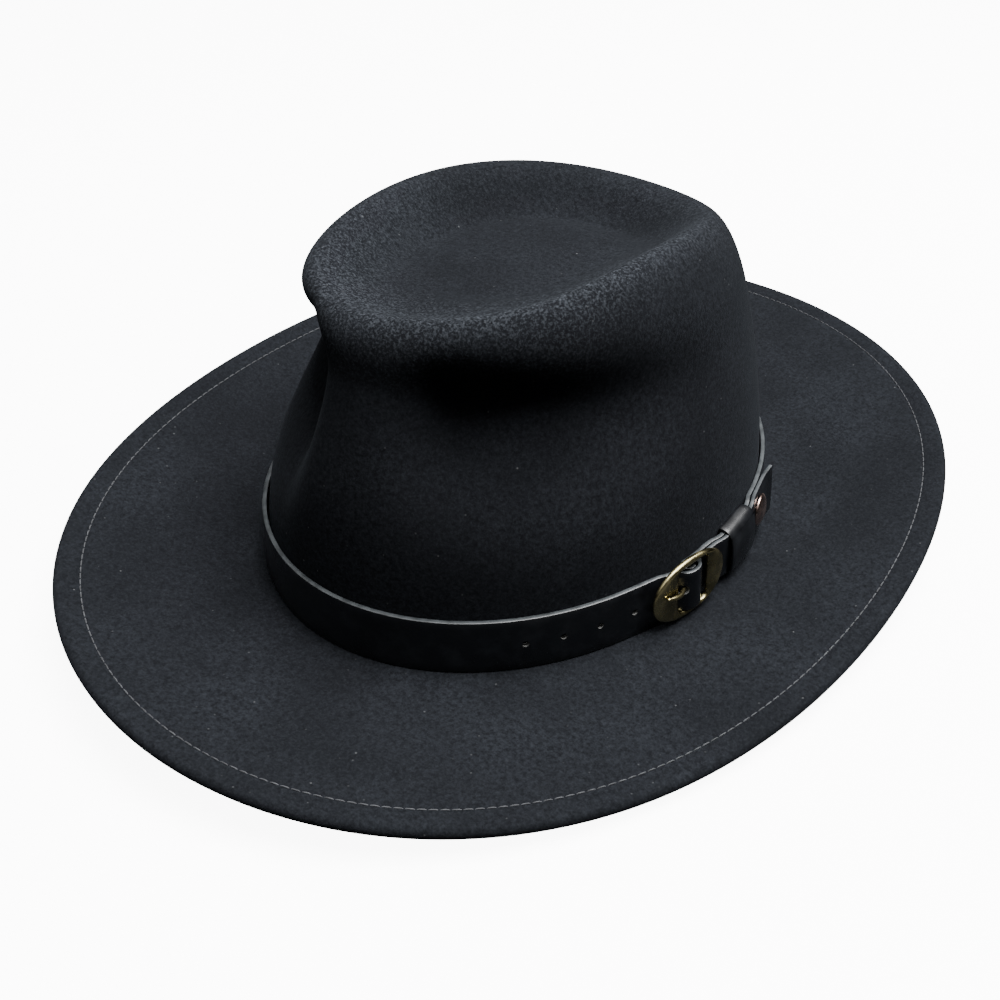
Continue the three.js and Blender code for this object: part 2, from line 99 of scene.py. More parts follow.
def through_rows(rows: Sequence[tuple[float, float]], places: np.ndarray) -> np.ndarray:
    """Reads a table as one smooth line that never overshoots its rows and is level at its ends.

    Args:
        rows: Pairs of a rising place and its value.
        places: Where the line is read.

    Returns:
        One value for each place.
    """
    x, y = np.asarray(rows, float).T
    step, slope = np.diff(x), np.diff(y) / np.diff(x)
    tangent = np.zeros(len(x))
    same = slope[:-1] * slope[1:] > 0
    first, last = 2 * step[1:] + step[:-1], step[1:] + 2 * step[:-1]
    safe = np.where(same, slope[:-1], 1), np.where(same, slope[1:], 1)
    tangent[1:-1] = np.where(same, (first + last) / (first / safe[0] + last / safe[1]), 0)
    index = np.clip(np.searchsorted(x, places, side="right") - 1, 0, len(x) - 2)
    width = step[index]
    s = (np.asarray(places) - x[index]) / width
    return (
        (1 + 2 * s) * (1 - s) ** 2 * y[index]
        + s * (1 - s) ** 2 * width * tangent[index]
        + s * s * (3 - 2 * s) * y[index + 1]
        + s * s * (s - 1) * width * tangent[index + 1]
    )


def spaced_curve(points: Sequence[tuple[float, float]], pieces: int) -> np.ndarray:
    """Draws a centripetal curve through points and divides it evenly.

    Args:
        points: Places that the curve passes.
        pieces: Number of equal pieces.

    Returns:
        An array of pieces + 1 points.
    """
    p = np.asarray(points, float)
    p = np.vstack([2 * p[0] - p[1], p, 2 * p[-1] - p[-2]])
    line = [p[1]]
    for a, b, c, d in zip(p, p[1:], p[2:], p[3:]):
        gaps = [math.sqrt(max(np.linalg.norm(v), TINY)) for v in (b - a, c - b, d - c)]
        start = (b - a) / gaps[0] - (c - a) / (gaps[0] + gaps[1]) + (c - b) / gaps[1]
        end = (c - b) / gaps[1] - (d - b) / (gaps[1] + gaps[2]) + (d - c) / gaps[2]
        start, end = start * gaps[1], end * gaps[1]
        for s in np.linspace(0, 1, CURVE_STEPS + 1)[1:]:
            line.append(
                (2 * s**3 - 3 * s * s + 1) * b + (s**3 - 2 * s * s + s) * start
                + (3 * s * s - 2 * s**3) * c + (s**3 - s * s) * end
            )
    line = np.array(line)
    length = np.concatenate([[0], np.cumsum(np.linalg.norm(np.diff(line, axis=0), axis=1))])
    wanted = np.linspace(0, length[-1], pieces + 1)
    return np.column_stack([np.interp(wanted, length, line[:, k]) for k in range(p.shape[1])])


# Helpers for meshes


class Boolean(Enum):
    """What a boolean does with the second piece."""

    ADD = "UNION"
    CUT = "DIFFERENCE"


class Axis(Enum):
    """Way that a rod lies: along the strap, up the wall or out from it."""

    ALONG = (0, math.pi / 2, 0)
    UP = (math.pi / 2, 0, 0)
    OUT = (0, 0, 0)


def deselect() -> None:
    """Leaves edit mode and deselects every object."""
    if bpy.context.mode != "OBJECT":
        bpy.ops.object.mode_set(mode="OBJECT")
    bpy.ops.object.select_all(action="DESELECT")


def only(piece: bpy.types.Object) -> bpy.types.Object:
    """Makes a piece the one selected, active object.

    Args:
        piece: The piece.

    Returns:
        The same piece.
    """
    deselect()
    piece.select_set(True)
    bpy.context.view_layer.objects.active = piece
    return piece


def named(name: str) -> bpy.types.Object:
    """Names the active object and its mesh.

    Args:
        name: The new name.

    Returns:
        The active object.
    """
    piece = bpy.context.active_object
    piece.name = name
    piece.data.name = name
    return piece


def apply_modifier(piece: bpy.types.Object, kind: str, **settings: object) -> None:
    """Adds a modifier to a piece and applies it.

    Args:
        piece: The piece that changes.
        kind: Blender's name of the modifier's type.
        settings: Values of the modifier's properties.
    """
    only(piece)
    modifier = piece.modifiers.new(kind.title(), kind)
    for key, value in settings.items():
        setattr(modifier, key, value)
    bpy.ops.object.modifier_apply(modifier=modifier.name)


def tidy_mesh(piece: bpy.types.Object) -> None:
    """Welds doubles, closes open ends and turns all faces outwards.

    Args:
        piece: The piece whose mesh is tidied.
    """
    only(piece)
    bpy.ops.object.mode_set(mode="EDIT")
    bpy.ops.mesh.select_all(action="SELECT")
    bpy.ops.mesh.remove_doubles(threshold=WELD)
    bpy.ops.mesh.fill_holes(sides=0)
    bpy.ops.mesh.select_all(action="SELECT")
    bpy.ops.mesh.normals_make_consistent(inside=False)
    bpy.ops.object.mode_set(mode="OBJECT")


def wrapped_grid(name: str, rows: np.ndarray) -> bpy.types.Object:
    """Wraps a flat grid over rows of points, as felt or leather is drawn over a block.

    Args:
        name: The new piece's name.
        rows: Points in millimetres, an array of rows by columns by three. Each row closes.

    Returns:
        The new piece, welded and closed.
    """
    rows = np.concatenate([rows, rows[:, :1]], axis=1)
    down, across = rows.shape[0] - 1, rows.shape[1] - 1
    deselect()
    bpy.ops.mesh.primitive_grid_add(x_subdivisions=across, y_subdivisions=down, size=2)
    piece = named(name)
    flat = np.zeros(len(piece.data.vertices) * 3)
    piece.data.vertices.foreach_get("co", flat)
    flat = flat.reshape(-1, 3)
    column = np.rint((flat[:, 0] + 1) / 2 * across).astype(int)
    row = np.rint((flat[:, 1] + 1) / 2 * down).astype(int)
    piece.data.vertices.foreach_set("co", (rows[row, column] * MM).ravel())
    tidy_mesh(piece)
    return piece


def rod(
    name: str, radius: float, length: float, middle: Sequence[float],
    axis: Axis = Axis.OUT, sides: int = 32,
) -> bpy.types.Object:
    """Models a straight round rod.

    Args:
        name: The rod's name.
        radius: Its radius in millimetres.
        length: Its length in millimetres.
        middle: Its middle in millimetres.
        axis: Which way it lies.
        sides: Number of faces round it.

    Returns:
        The rod.
    """
    deselect()
    bpy.ops.mesh.primitive_cylinder_add(
        vertices=sides, radius=radius * MM, depth=length * MM,
        location=Vector(middle) * MM, rotation=axis.value,
    )
    return named(name)


def smooth(piece: bpy.types.Object, degrees: float) -> None:
    """Shades a piece smooth, apart from edges sharper than an angle in degrees."""
    only(piece)
    bpy.ops.object.shade_smooth_by_angle(angle=math.radians(degrees))


def combine(piece: bpy.types.Object, other: bpy.types.Object, work: Boolean) -> None:
    """Joins or cuts a piece with another one, which is used up."""
    apply_modifier(piece, "BOOLEAN", object=other, operation=work.value, solver="EXACT")
    bpy.data.objects.remove(other)


def finish_piece(
    piece: bpy.types.Object, nodes: Sequence[str] = ()
) -> bpy.types.Object:
    """Lets a piece ride on the hat, hides the solids that it stands for and logs its triangles.

    Args:
        piece: The finished piece.
        nodes: Solids that the piece replaces.

    Returns:
        The same piece.
    """
    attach(piece, BODY)
    if nodes:
        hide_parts(*nodes)
    faces = sum(len(polygon.vertices) - 2 for polygon in piece.data.polygons)
    log.info("%s: %d triangles", piece.name, faces)
    return piece


# Finishes


@dataclass(frozen=True)
class Noise:
    """A noise texture: cells in a metre, octaves, and the weight of the finer octaves."""

    scale: float
    detail: float = 2
    rough: float = 0.5


@dataclass(frozen=True)
class Span:
    """How a value is mapped and clamped: low becomes start, and high becomes end."""

    low: float
    high: float
    start: float = 0
    end: float = 1


@dataclass(frozen=True)
class Relief:
    """A bump of noise, or of round cells in a metre: its height in metres and its strength."""

    pattern: Noise | float
    height: float
    strength: float


class Nodes:
    """Builds one procedural material, node by node."""

    COLOUR_MIX = 6, 7, 2  # a Mix node's two colour inputs and its colour output

    def __init__(self, name: str) -> None:
        """Starts a material with a Principled shader.

        Args:
            name: The material's name.
        """
        self.material = bpy.data.materials.new(name)
        self.material.use_nodes = True
        self.tree = self.material.node_tree
        self.shader = self.tree.nodes["Principled BSDF"]
        self.place = self.tree.nodes.new("ShaderNodeTexCoord").outputs["Object"]

    def put(self, **values: object) -> None:
        """Sets constants, or links outputs, on the shader's sockets, named with underscores."""
        for socket, value in values.items():
            self.feed(self.shader.inputs[socket.replace("_", " ")], value)

    def feed(self, socket: bpy.types.NodeSocket, value: object) -> None:
        """Sets a constant, or links an output, on a socket.

        Args:
            socket: The input that takes the value.
            value: A number, a colour or another node's output.
        """
        if isinstance(value, bpy.types.NodeSocket):
            self.tree.links.new(value, socket)
        elif isinstance(value, tuple):
            socket.default_value = (*value, 1)
        else:
            socket.default_value = value

    def noise(self, noise: Noise) -> bpy.types.NodeSocket:
        """Adds a noise texture.

        Args:
            noise: The texture's values.

        Returns:
            The node's output.
        """
        node = self.tree.nodes.new("ShaderNodeTexNoise")
        node.inputs["Scale"].default_value = noise.scale
        node.inputs["Detail"].default_value = noise.detail
        node.inputs["Roughness"].default_value = noise.rough
        self.tree.links.new(self.place, node.inputs["Vector"])
        return node.outputs["Fac"]

    def cells(self, scale: float, output: str = "Distance") -> bpy.types.NodeSocket:
        """Adds a Voronoi texture.

        Args:
            scale: Cells in a metre.
            output: Which output is wanted.

        Returns:
            The node's output.
        """
        node = self.tree.nodes.new("ShaderNodeTexVoronoi")
        node.inputs["Scale"].default_value = scale
        self.tree.links.new(self.place, node.inputs["Vector"])
        return node.outputs[output]

    def attribute(self, name: str) -> bpy.types.NodeSocket:
        """Reads a number that the mesh carries under that name.

        Args:
            name: The attribute's name.

        Returns:
            The node's output.
        """
        node = self.tree.nodes.new("ShaderNodeAttribute")
        node.attribute_name = name
        return node.outputs["Fac"]

    def ramp(self, value: bpy.types.NodeSocket, span: Span) -> bpy.types.NodeSocket:
        """Maps a value and clamps it.

        Args:
            value: The output that is mapped.
            span: How it is mapped.

        Returns:
            The node's output.
        """
        node = self.tree.nodes.new("ShaderNodeMapRange")
        for socket, number in zip(node.inputs[1:5], (span.low, span.high, span.start, span.end)):
            socket.default_value = number
        self.tree.links.new(value, node.inputs["Value"])
        return node.outputs["Result"]

    def product(self, a: bpy.types.NodeSocket, b: bpy.types.NodeSocket) -> bpy.types.NodeSocket:
        """Multiplies two outputs.

        Args:
            a: One output.
            b: The other one.

        Returns:
            The node's output.
        """
        node = self.tree.nodes.new("ShaderNodeMath")
        node.operation = "MULTIPLY"
        self.feed(node.inputs[0], a)
        self.feed(node.inputs[1], b)
        return node.outputs["Value"]

    def mix(
        self,
        share: bpy.types.NodeSocket,
        a: bpy.types.NodeSocket | Colour,
        b: bpy.types.NodeSocket | Colour,
    ) -> bpy.types.NodeSocket:
        """Mixes two colours.

        Args:
            share: Share of the second colour.
            a: The first colour, or its output.
            b: The second colour, or its output.

        Returns:
            The node's output.
        """
        first, second, result = self.COLOUR_MIX
        node = self.tree.nodes.new("ShaderNodeMix")
        node.data_type = "RGBA"
        self.feed(node.inputs["Factor"], share)
        self.feed(node.inputs[first], a)
        self.feed(node.inputs[second], b)
        return node.outputs[result]

    def emboss(self, *reliefs: Relief) -> None:
        """Lays bumps on top of each other, the first lowest, and puts them on the shader.

        Args:
            reliefs: The bumps, from the lowest up.
        """
        normal = None
        for relief in reliefs:
            pattern = relief.pattern
            height = self.noise(pattern) if isinstance(pattern, Noise) else self.cells(pattern)
            node = self.tree.nodes.new("ShaderNodeBump")
            node.inputs["Distance"].default_value = relief.height
            node.inputs["Strength"].default_value = relief.strength
            self.tree.links.new(height, node.inputs["Height"])
            if normal is not None:
                self.tree.links.new(normal, node.inputs["Normal"])
            normal = node.outputs["Normal"]
        self.put(Normal=normal)


@dataclass(frozen=True)
class FeltFinish:
    """Napped wool felt with fine fuzz, mottling and specks of lint, and lighter fuzz along the
    ridge that is partly raised nap and partly a painted highlight.
    """

    name: str = "napped_felt"
    deep: Colour = (0.0052, 0.0057, 0.0069)
    light: Colour = (0.0165, 0.0184, 0.0224)
    # colour of the ridge's lighter fuzz: partly raised nap, partly a painted highlight
    fuzz_and_highlight: Colour = (0.062, 0.069, 0.080)
    lint: Colour = (0.085, 0.088, 0.090)
    mottle: Noise = Noise(26, 3)
    mottle_span: Span = Span(0.35, 0.65, 0.25, 0.75)
    grain: Noise = Noise(640, 4, 0.75)
    grain_span: Span = Span(0.37, 0.66)
    hairs: Noise = Noise(1100, 3, 0.78)
    hairs_span: Span = Span(0.46, 0.70)
    nap_highlight_span: Span = Span(0, 1, 0.09, 0.78)
    lint_cells: float = 420
    lint_size: Span = Span(0.17, 0.07)
    lint_chosen: Span = Span(0.82, 0.98)
    roughness: float = 0.95
    specular: float = 0.04
    sheen: float = 0.02
    sheen_roughness: float = 0.42
    sheen_tint: Colour = (0.62, 0.70, 0.82)
    pressed: Relief = Relief(Noise(240, 3, 0.6), 0.00014, 0.8)
    nubs: Relief = Relief(Noise(1100, 3, 0.7), 0.00020, 0.9)
    fibres: Relief = Relief(Noise(3600, 2, 0.6), 0.00008, 0.7)

    def material(self) -> bpy.types.Material:
        """Builds the felt's material, which reads from the mesh where the ridge's fuzz is painted
        lighter: partly raised nap, partly a painted highlight.

        Returns:
            The material.
        """
        n = Nodes(self.name)
        mottle = n.ramp(n.noise(self.mottle), self.mottle_span)
        grain = n.ramp(n.noise(self.grain), self.grain_span)
        base = n.mix(n.product(mottle, grain), self.deep, self.light)
        hairs = n.ramp(n.noise(self.hairs), self.hairs_span)
        # painted highlight with raised nap: lighter fuzz along the ridge, strongest on its near
        # side
        raised_and_lit = n.ramp(n.attribute("nap_and_highlight"), self.nap_highlight_span)
        base = n.mix(n.product(hairs, raised_and_lit), base, self.fuzz_and_highlight)
        speck = n.ramp(n.cells(self.lint_cells), self.lint_size)
        chosen = n.ramp(n.cells(self.lint_cells, "Color"), self.lint_chosen)
        n.put(
            Base_Color=n.mix(n.product(speck, chosen), base, self.lint),
            Roughness=self.roughness, Specular_IOR_Level=self.specular,
            Sheen_Weight=self.sheen, Sheen_Roughness=self.sheen_roughness,
            Sheen_Tint=self.sheen_tint,
        )
        n.emboss(self.pressed, self.nubs, self.fibres)
        return n.material


@dataclass(frozen=True)
class LeatherFinish:
    """Glossy finished leather with a fine grain and faint scuffs."""

    name: str = "glossy_leather"
    colour: Colour = (0.0032, 0.0036, 0.0046)
    scuffed: Colour = (0.0085, 0.0095, 0.0115)
    wear: Noise = Noise(120, 4, 0.6)
    wear_span: Span = Span(0.48, 0.74)
    gloss: Noise = Noise(60, 3)
    gloss_span: Span = Span(0.35, 0.7, 0.24, 0.42)
    coat: float = 0.25
    coat_roughness: float = 0.22
    pores: Relief = Relief(1400, 0.00005, 0.35)
    waves: Relief = Relief(Noise(90, 2), 0.0003, 0.25)

    def material(self) -> bpy.types.Material:
        """Builds the leather's material.

        Returns:
            The material.
        """
        n = Nodes(self.name)
        wear = n.ramp(n.noise(self.wear), self.wear_span)
        n.put(
            Base_Color=n.mix(wear, self.colour, self.scuffed),
            Roughness=n.ramp(n.noise(self.gloss), self.gloss_span),
            Coat_Weight=self.coat, Coat_Roughness=self.coat_roughness,
        )
        n.emboss(self.pores, self.waves)
        return n.material


class Patina(Enum):
    """Metals of the fittings: bright metal where it is rubbed, and its dark patina."""

    BRASS = ("antique_brass_finish", (0.56, 0.49, 0.26), (0.15, 0.128, 0.062))
    COPPER = ("antique_copper_finish", (0.66, 0.50, 0.44), (0.42, 0.29, 0.25))


@dataclass(frozen=True)
class MetalFinish:
    """Antiqued metal, rubbed bright in places."""

    patina: Patina
    wear: Noise = Noise(70, 3)
    wear_span: Span = Span(0.30, 0.70)
    gloss: Noise = Noise(300, 3)
    gloss_span: Span = Span(0.3, 0.7, 0.18, 0.36)
    waves: Relief = Relief(Noise(220, 2), 0.00005, 0.2)

    def material(self) -> bpy.types.Material:
        """Builds the metal's material.

        Returns:
            The material.
        """
        name, bright, dark = self.patina.value
        n = Nodes(name)
        worn = n.ramp(n.noise(self.wear), self.wear_span)
        gloss = n.ramp(n.noise(self.gloss), self.gloss_span)
        n.put(Base_Color=n.mix(worn, dark, bright), Metallic=1, Roughness=gloss)
        n.emboss(self.waves)
        return n.material


@dataclass(frozen=True)
class MottledFinish:
    """A plain finish that is mottled between a dark and a pale colour."""

    name: str
    dark: Colour
    pale: Colour
    mottle: Noise
    span: Span
    roughness: float
    grain: Relief
    sheen: float = 0

    def material(self) -> bpy.types.Material:
        """Builds the material.

        Returns:
            The material.
        """
        n = Nodes(self.name)
        mottle = n.ramp(n.noise(self.mottle), self.span)
        colour = n.mix(mottle, self.dark, self.pale)
        n.put(Base_Color=colour, Roughness=self.roughness, Sheen_Weight=self.sheen)
        n.emboss(self.grain)
        return n.material


# The strap's cut edge, sealed and burnished; its pale grey is a painted highlight that stands for
# light shining on the edge
BURNISHED_EDGE_AND_HIGHLIGHT = MottledFinish(
    "burnished_edge_and_highlight", (0.018, 0.021, 0.023), (0.048, 0.054, 0.058),
    Noise(260, 3), Span(0.35, 0.65), 0.40, Relief(Noise(700), 0.00005, 0.4),
)
# Raw leather inside the punched holes
RAW_LEATHER = MottledFinish(
    "raw_leather", (0.035, 0.035, 0.034), (0.15, 0.15, 0.145),
    Noise(1500), Span(0, 1), 0.85, Relief(Noise(2400), 0.0001, 0.5),
)
# Grey twisted sewing thread
GREY_THREAD = MottledFinish(
    "grey_thread", (0.018, 0.0195, 0.022), (0.046, 0.049, 0.054),
    Noise(420), Span(0.35, 0.65), 0.7, Relief(Noise(2600), 0.0001, 0.6), sheen=0.1,
)


# The felt


@dataclass(frozen=True)
class Dent:
    """A dent pressed into the crown: where it is, how deep, and over what lengths it fades."""

    at: float
    height: float
    depth: float
    ahead: float
    behind: float
    above: float
    below: float
    fall: float


@dataclass(frozen=True)
class HatForm:
    """The block that gives the felt its shape: head oval, crown, dish, dents and brim."""

    felt: float = 2.2
    half_length: float = 101.6
    half_width: float = 83.6
    break_radius: float = 0.6
    rest_ring: float = 8.0
    brim_sweep: float = 1.15
    brim_width: tuple[float, ...] = (70.6, 65.1, 59.6, 71.1, 82.6, 71.1, 59.6, 65.1)
    brim_rise: tuple[float, ...] = (17.3, 7.0, 8.9, 17.3, 15.7, 18.4, 18.0, 17.2)
    ridge_across: tuple[float, ...] = (-6, 40.5, 51, 37, 0, -37, -52.5, -39.5)
    ridge_ahead: tuple[float, ...] = (70.5, 48, -3, -50, -68, -50, -3, 49)
    ridge_height: tuple[float, ...] = (107, 114, 119, 112, 106, 109, 113, 111)
    ridge_middle: float = -4
    wall_lean: float = 0.25
    dish: tuple[tuple[float, float, float], ...] = (  # share of the ridge, drop, moat
        (0.0, 9.6, 0), (0.3, 9.9, 0), (0.5, 10.5, 0.4), (0.58, 11.0, 2.4), (0.66, 10.8, 3.6),
        (0.74, 9.2, 2.4), (0.82, 6.2, 0.8), (0.9, 2.7, 0), (0.96, 0.6, 0), (1.0, 0.0, 0),
    )
    moat: tuple[float, ...] = (-0.7, -1.1, -1.0, -0.1, 0.9, 1.0, 1.0, 0.2)
    dish_level: float = 0.3
    dent_round: float = 66.9
    dent_fade: float = 3
    dents: tuple[Dent, ...] = (
        Dent(36, 83, 15, 15, 58, 16, 24, 0.05),
        Dent(-17, 84, 25, 11, 50, 13, 30, 0.05),
        Dent(0, 88, 5, 40, 40, 12, 30, 0),
    )

    @property
    def crown_ahead(self) -> float:
        """Distance of the crown's middle ahead of the origin."""
        return (self.brim_width[4] - self.brim_width[0]) / 2

    @property
    def mean_height(self) -> float:
        """Mean height of the ridge."""
        return float(np.mean(self.ridge_height))

    def head_oval(self, turn: np.ndarray) -> tuple[np.ndarray, np.ndarray]:
        """Gives the crown's outline at the brim.

        Args:
            turn: Angles round the head.

        Returns:
            Points of the outline, and the outward directions there.
        """
        sine, cosine, none = np.sin(turn), np.cos(turn), np.zeros_like(turn)
        point = np.stack(
            [self.half_width * sine, -self.crown_ahead - self.half_length * cosine, none], axis=-1
        )
        out = np.stack([sine / self.half_width, -cosine / self.half_length, none], axis=-1)
        return point, out / np.linalg.norm(out, axis=-1, keepdims=True)

    def width(self, turn: np.ndarray) -> np.ndarray:
        """Gives the brim's width at each angle."""
        return round_value(self.brim_width, turn)

    def brim_top(self, turn: np.ndarray, distance: np.ndarray | float) -> np.ndarray:
        """Gives points of the brim's top face at a distance out from the crown.

        Args:
            turn: Angles round the head from the front, in radians.
            distance: Distance out from the crown.

        Returns:
            The row's points, in millimetres.
        """
        point, out = self.head_oval(turn)
        share = np.maximum(0, (distance - self.rest_ring) / (self.width(turn) - self.rest_ring))
        point = point + out * np.reshape(distance * np.ones_like(turn), (-1, 1))
        point[:, 2] = self.felt + round_value(self.brim_rise, turn) * share**self.brim_sweep
        return point

    def ridge(self, turn: np.ndarray, share: float) -> np.ndarray:
        """Gives the ridge's outline, scaled about its middle by a share.

        Args:
            turn: Angles round the head from the front, in radians.
            share: 1 on the ridge, 0 in its middle.

        Returns:
            The row's points, in millimetres.
        """
        ahead = self.ridge_middle + share * (
            round_value(self.ridge_ahead, turn) - self.ridge_middle
        )
        across = round_value(self.ridge_across, turn) * share
        height = round_value(self.ridge_height, turn)
        return np.stack([across, -self.crown_ahead - ahead, height], axis=-1)

    def dented(self, point: np.ndarray, turn: np.ndarray, share: float) -> np.ndarray:
        """Presses the dents into a row of the crown.

        Args:
            point: The row's points.
            turn: Their angles round the head.
            share: 1 on the wall, and the share of the ridge's outline in the dish.

        Returns:
            The moved points.
        """
        moved = point.copy()
        out = self.head_oval(turn)[1]
        for dent in self.dents:
            away = turn - math.radians(dent.at)
            away = np.arctan2(np.sin(away), np.cos(away)) * self.dent_round
            behind = -away if dent.at < 0 else away
            along = behind / np.where(behind > 0, dent.behind, dent.ahead)
            over = point[:, 2] - dent.height + dent.fall * behind
            up = over / np.where(over > 0, dent.above, dent.below)
            push = dent.depth * np.exp(-(along**2) - up**2) * share**self.dent_fade
            moved -= out * push[:, None]
        return moved

    def wall_at(self, turn: np.ndarray, height: np.ndarray | float) -> np.ndarray:
        """Gives points of the crown's wall without its dents, at heights.

        Args:
            turn: Angles round the head from the front, in radians.
            height: One height, or one for each angle.

        Returns:
            The row's points, in millimetres.
        """
        top = self.ridge(turn, 1)
        rise = np.clip((height - self.felt) / (top[:, 2] - self.felt), 0, 1)
        draw = self.wall_lean * rise + (1 - self.wall_lean) * (1 - np.sqrt(1 - rise * rise))
        foot = self.head_oval(turn)[0]
        point = foot + (top - foot) * draw[:, None]
        point[:, 2] = height
        return point

    def wall_row(self, turn: np.ndarray, lift: float) -> np.ndarray:
        """Gives a row of the wall, with lift in degrees from 0 at the brim to 90 at the ridge.

        Args:
            turn: Angles round the head from the front, in radians.
            lift: Degrees up the wall.

        Returns:
            The row's points, in millimetres.
        """
        top = self.ridge(turn, 1)[:, 2]
        height = self.felt + (top - self.felt) * math.sin(math.radians(lift))
        return self.dented(self.wall_at(turn, height), turn, 1)

    def dish_row(self, turn: np.ndarray, share: float) -> np.ndarray:
        """Gives a row of the dish at a share of the ridge's outline.

        Args:
            turn: Angles round the head from the front, in radians.
            share: 1 on the ridge, 0 in the middle.

        Returns:
            The row's points, in millimetres.
        """
        point = self.ridge(turn, share)
        level = smooth_step(share, self.dish_level, 1)
        places = np.array([share])
        drop = through_rows([(row[0], row[1]) for row in self.dish], places)
        deeper = through_rows([(row[0], row[2]) for row in self.dish], places)
        drop = drop + deeper * round_value(self.moat, turn)
        point[:, 2] = self.mean_height + (point[:, 2] - self.mean_height) * level - drop
        return self.dented(point, turn, share)


@dataclass
class FeltBody:
    """Crown and brim, blocked from one piece of felt, with its edge folded under."""

    form: HatForm
    finish: FeltFinish
    name: str = "felt_hat"
    around: int = 240
    foot_lifts: tuple[float, ...] = (0.4, 2)
    first_lift: float = 4
    wall_rows: int = 52
    dish_rows: int = 44
    inner_step: int = 2
    edge_insets: tuple[float, ...] = (2.2, 3.2, 4.6, 6.2, 7.3, 7.9, 8.4, 8.9, 9.6, 11.0)
    welt_thickness: float = 4.4
    welt_width: float = 11.0
    welt_rows: tuple[tuple[float, float], ...] = (  # inset from the edge, below the top face
        (11.0, 2.35), (10.7, 3.9), (10.1, 4.4), (8.4, 4.4), (6.0, 4.4), (4.0, 4.4),
    )
    edge_round: float = 2.2
    corner_steps: int = 6
    groove_inset: float = 8.4
    groove_depth: float = 0.35
    groove_width: float = 0.9
    brim_steps: int = 16
    under_steps: int = 8
    break_above: tuple[float, ...] = (0, 30, 60)
    break_below: tuple[float, ...] = (60, 40, 20, 0)
    # where the ridge's lighter fuzz is painted: partly raised nap, partly a painted highlight
    nap_highlight_crest: float = 0.94
    nap_highlight_inside: float = 0.24
    nap_highlight_outside: float = 0.16
    nap_highlight_heights: tuple[float, float] = (84, 102)
    highlight_side: float = 40
    nap_highlight_even: float = 0.55
    crease: float = 60

    def turns(self) -> np.ndarray:
        """Gives the angles of the mesh's columns."""
        return np.arange(self.around) * TURN / self.around

    def edge_row(self, turn: np.ndarray, inset: float, below: float) -> np.ndarray:
        """Gives a row of the brim a distance in from its edge, and below its top face.

        Args:
            turn: Angles round the head from the front, in radians.
            inset: Distance in from the edge.
            below: Depth under the top face.

        Returns:
            The row's points, in millimetres.
        """
        width = self.form.width(turn)
        point = self.form.brim_top(turn, width - inset)
        face = self.form.brim_top(turn, width - max(inset, self.edge_round))[:, 2]
        beside = (inset - self.groove_inset) / self.groove_width
        groove = self.groove_depth * math.exp(-(beside**2)) if below == 0 else 0
        point[:, 2] = face - below - groove
        return point

    def share_row(self, turn: np.ndarray, share: float, below: float) -> np.ndarray:
        """Gives a row of the brim at a share of its width inside the welt.

        Args:
            turn: Angles round the head from the front, in radians.
            share: 0 at the crown, 1 at the welt.
            below: Depth under the top face.

        Returns:
            The row's points, in millimetres.
        """
        rest = self.form.rest_ring
        distance = rest + share * (self.form.width(turn) - self.welt_width - rest)
        return self.form.brim_top(turn, distance) - np.array([0, 0, below])

    def break_row(self, turn: np.ndarray, out: float, height: float) -> np.ndarray:
        """Gives a row of the fillet between brim and crown.

        Args:
            turn: Angles round the head from the front, in radians.
            out: Distance out from the head's oval.
            height: The row's height.

        Returns:
            The row's points, in millimetres.
        """
        point, away = self.form.head_oval(turn)
        point = point + away * out
        point[:, 2] = height
        return point

    @property
    def corner_turns(self) -> np.ndarray:
        """Angles of the rows round a corner of the brim's edge, in radians."""
        return np.linspace(0, math.pi / 2, self.corner_steps)[:-1]

    def upper_rows(self, turn: np.ndarray) -> list[np.ndarray]:
        """Gives the rows of the brim's top face, from its edge to the crown.

        Args:
            turn: Angles round the head from the front, in radians.

        Returns:
            The rows, in order.
        """
        rounded = self.edge_round
        rows = [
            self.edge_row(turn, rounded * (1 - math.cos(a)), rounded * (1 - math.sin(a)))
            for a in self.corner_turns
        ]
        rows += [self.edge_row(turn, inset, 0) for inset in self.edge_insets]
        rows += [self.share_row(turn, s, 0) for s in np.linspace(1, 0, self.brim_steps)[1:]]
        felt, radius = self.form.felt, self.form.break_radius
        for a in np.radians(self.break_above):
            out, up = radius * (1 - math.sin(a)), radius * (1 - math.cos(a))
            rows.append(self.break_row(turn, out, felt + up))
        return rows

    def under_rows(self, turn: np.ndarray) -> list[np.ndarray]:
        """Gives the rows of the underside, from the inside of the crown to the brim's edge.

        Args:
            turn: Angles round the head from the front, in radians.

        Returns:
            The rows, in order.
        """
        felt, radius = self.form.felt, self.form.break_radius
        reach = radius + felt
        rows = [
            self.break_row(turn, radius - reach * math.sin(a), reach - reach * math.cos(a))
            for a in np.radians(self.break_below)
        ]
        rows += [self.share_row(turn, s, felt) for s in np.linspace(0, 1, self.under_steps)]
        rows += [self.edge_row(turn, inset, below) for inset, below in self.welt_rows]
        folded, rounded = self.welt_thickness, self.edge_round
        rows += [
            self.edge_row(turn, rounded * (1 - math.sin(a)), folded - rounded * (1 - math.cos(a)))
            for a in self.corner_turns
        ]
        return rows

    def crown_rows(self, turn: np.ndarray) -> list[np.ndarray]:
        """Gives the rows of the crown's outer face, from the brim to the middle of the dish.

        Args:
            turn: Angles round the head from the front, in radians.

        Returns:
            The rows, in order.
        """
        lifts = [*self.foot_lifts, *np.linspace(self.first_lift, 90, self.wall_rows)]
        shares = np.linspace(1, 0, self.dish_rows + 1)[1:]
        rows = [self.form.wall_row(turn, lift) for lift in lifts]
        return rows + [self.form.dish_row(turn, share) for share in shares]

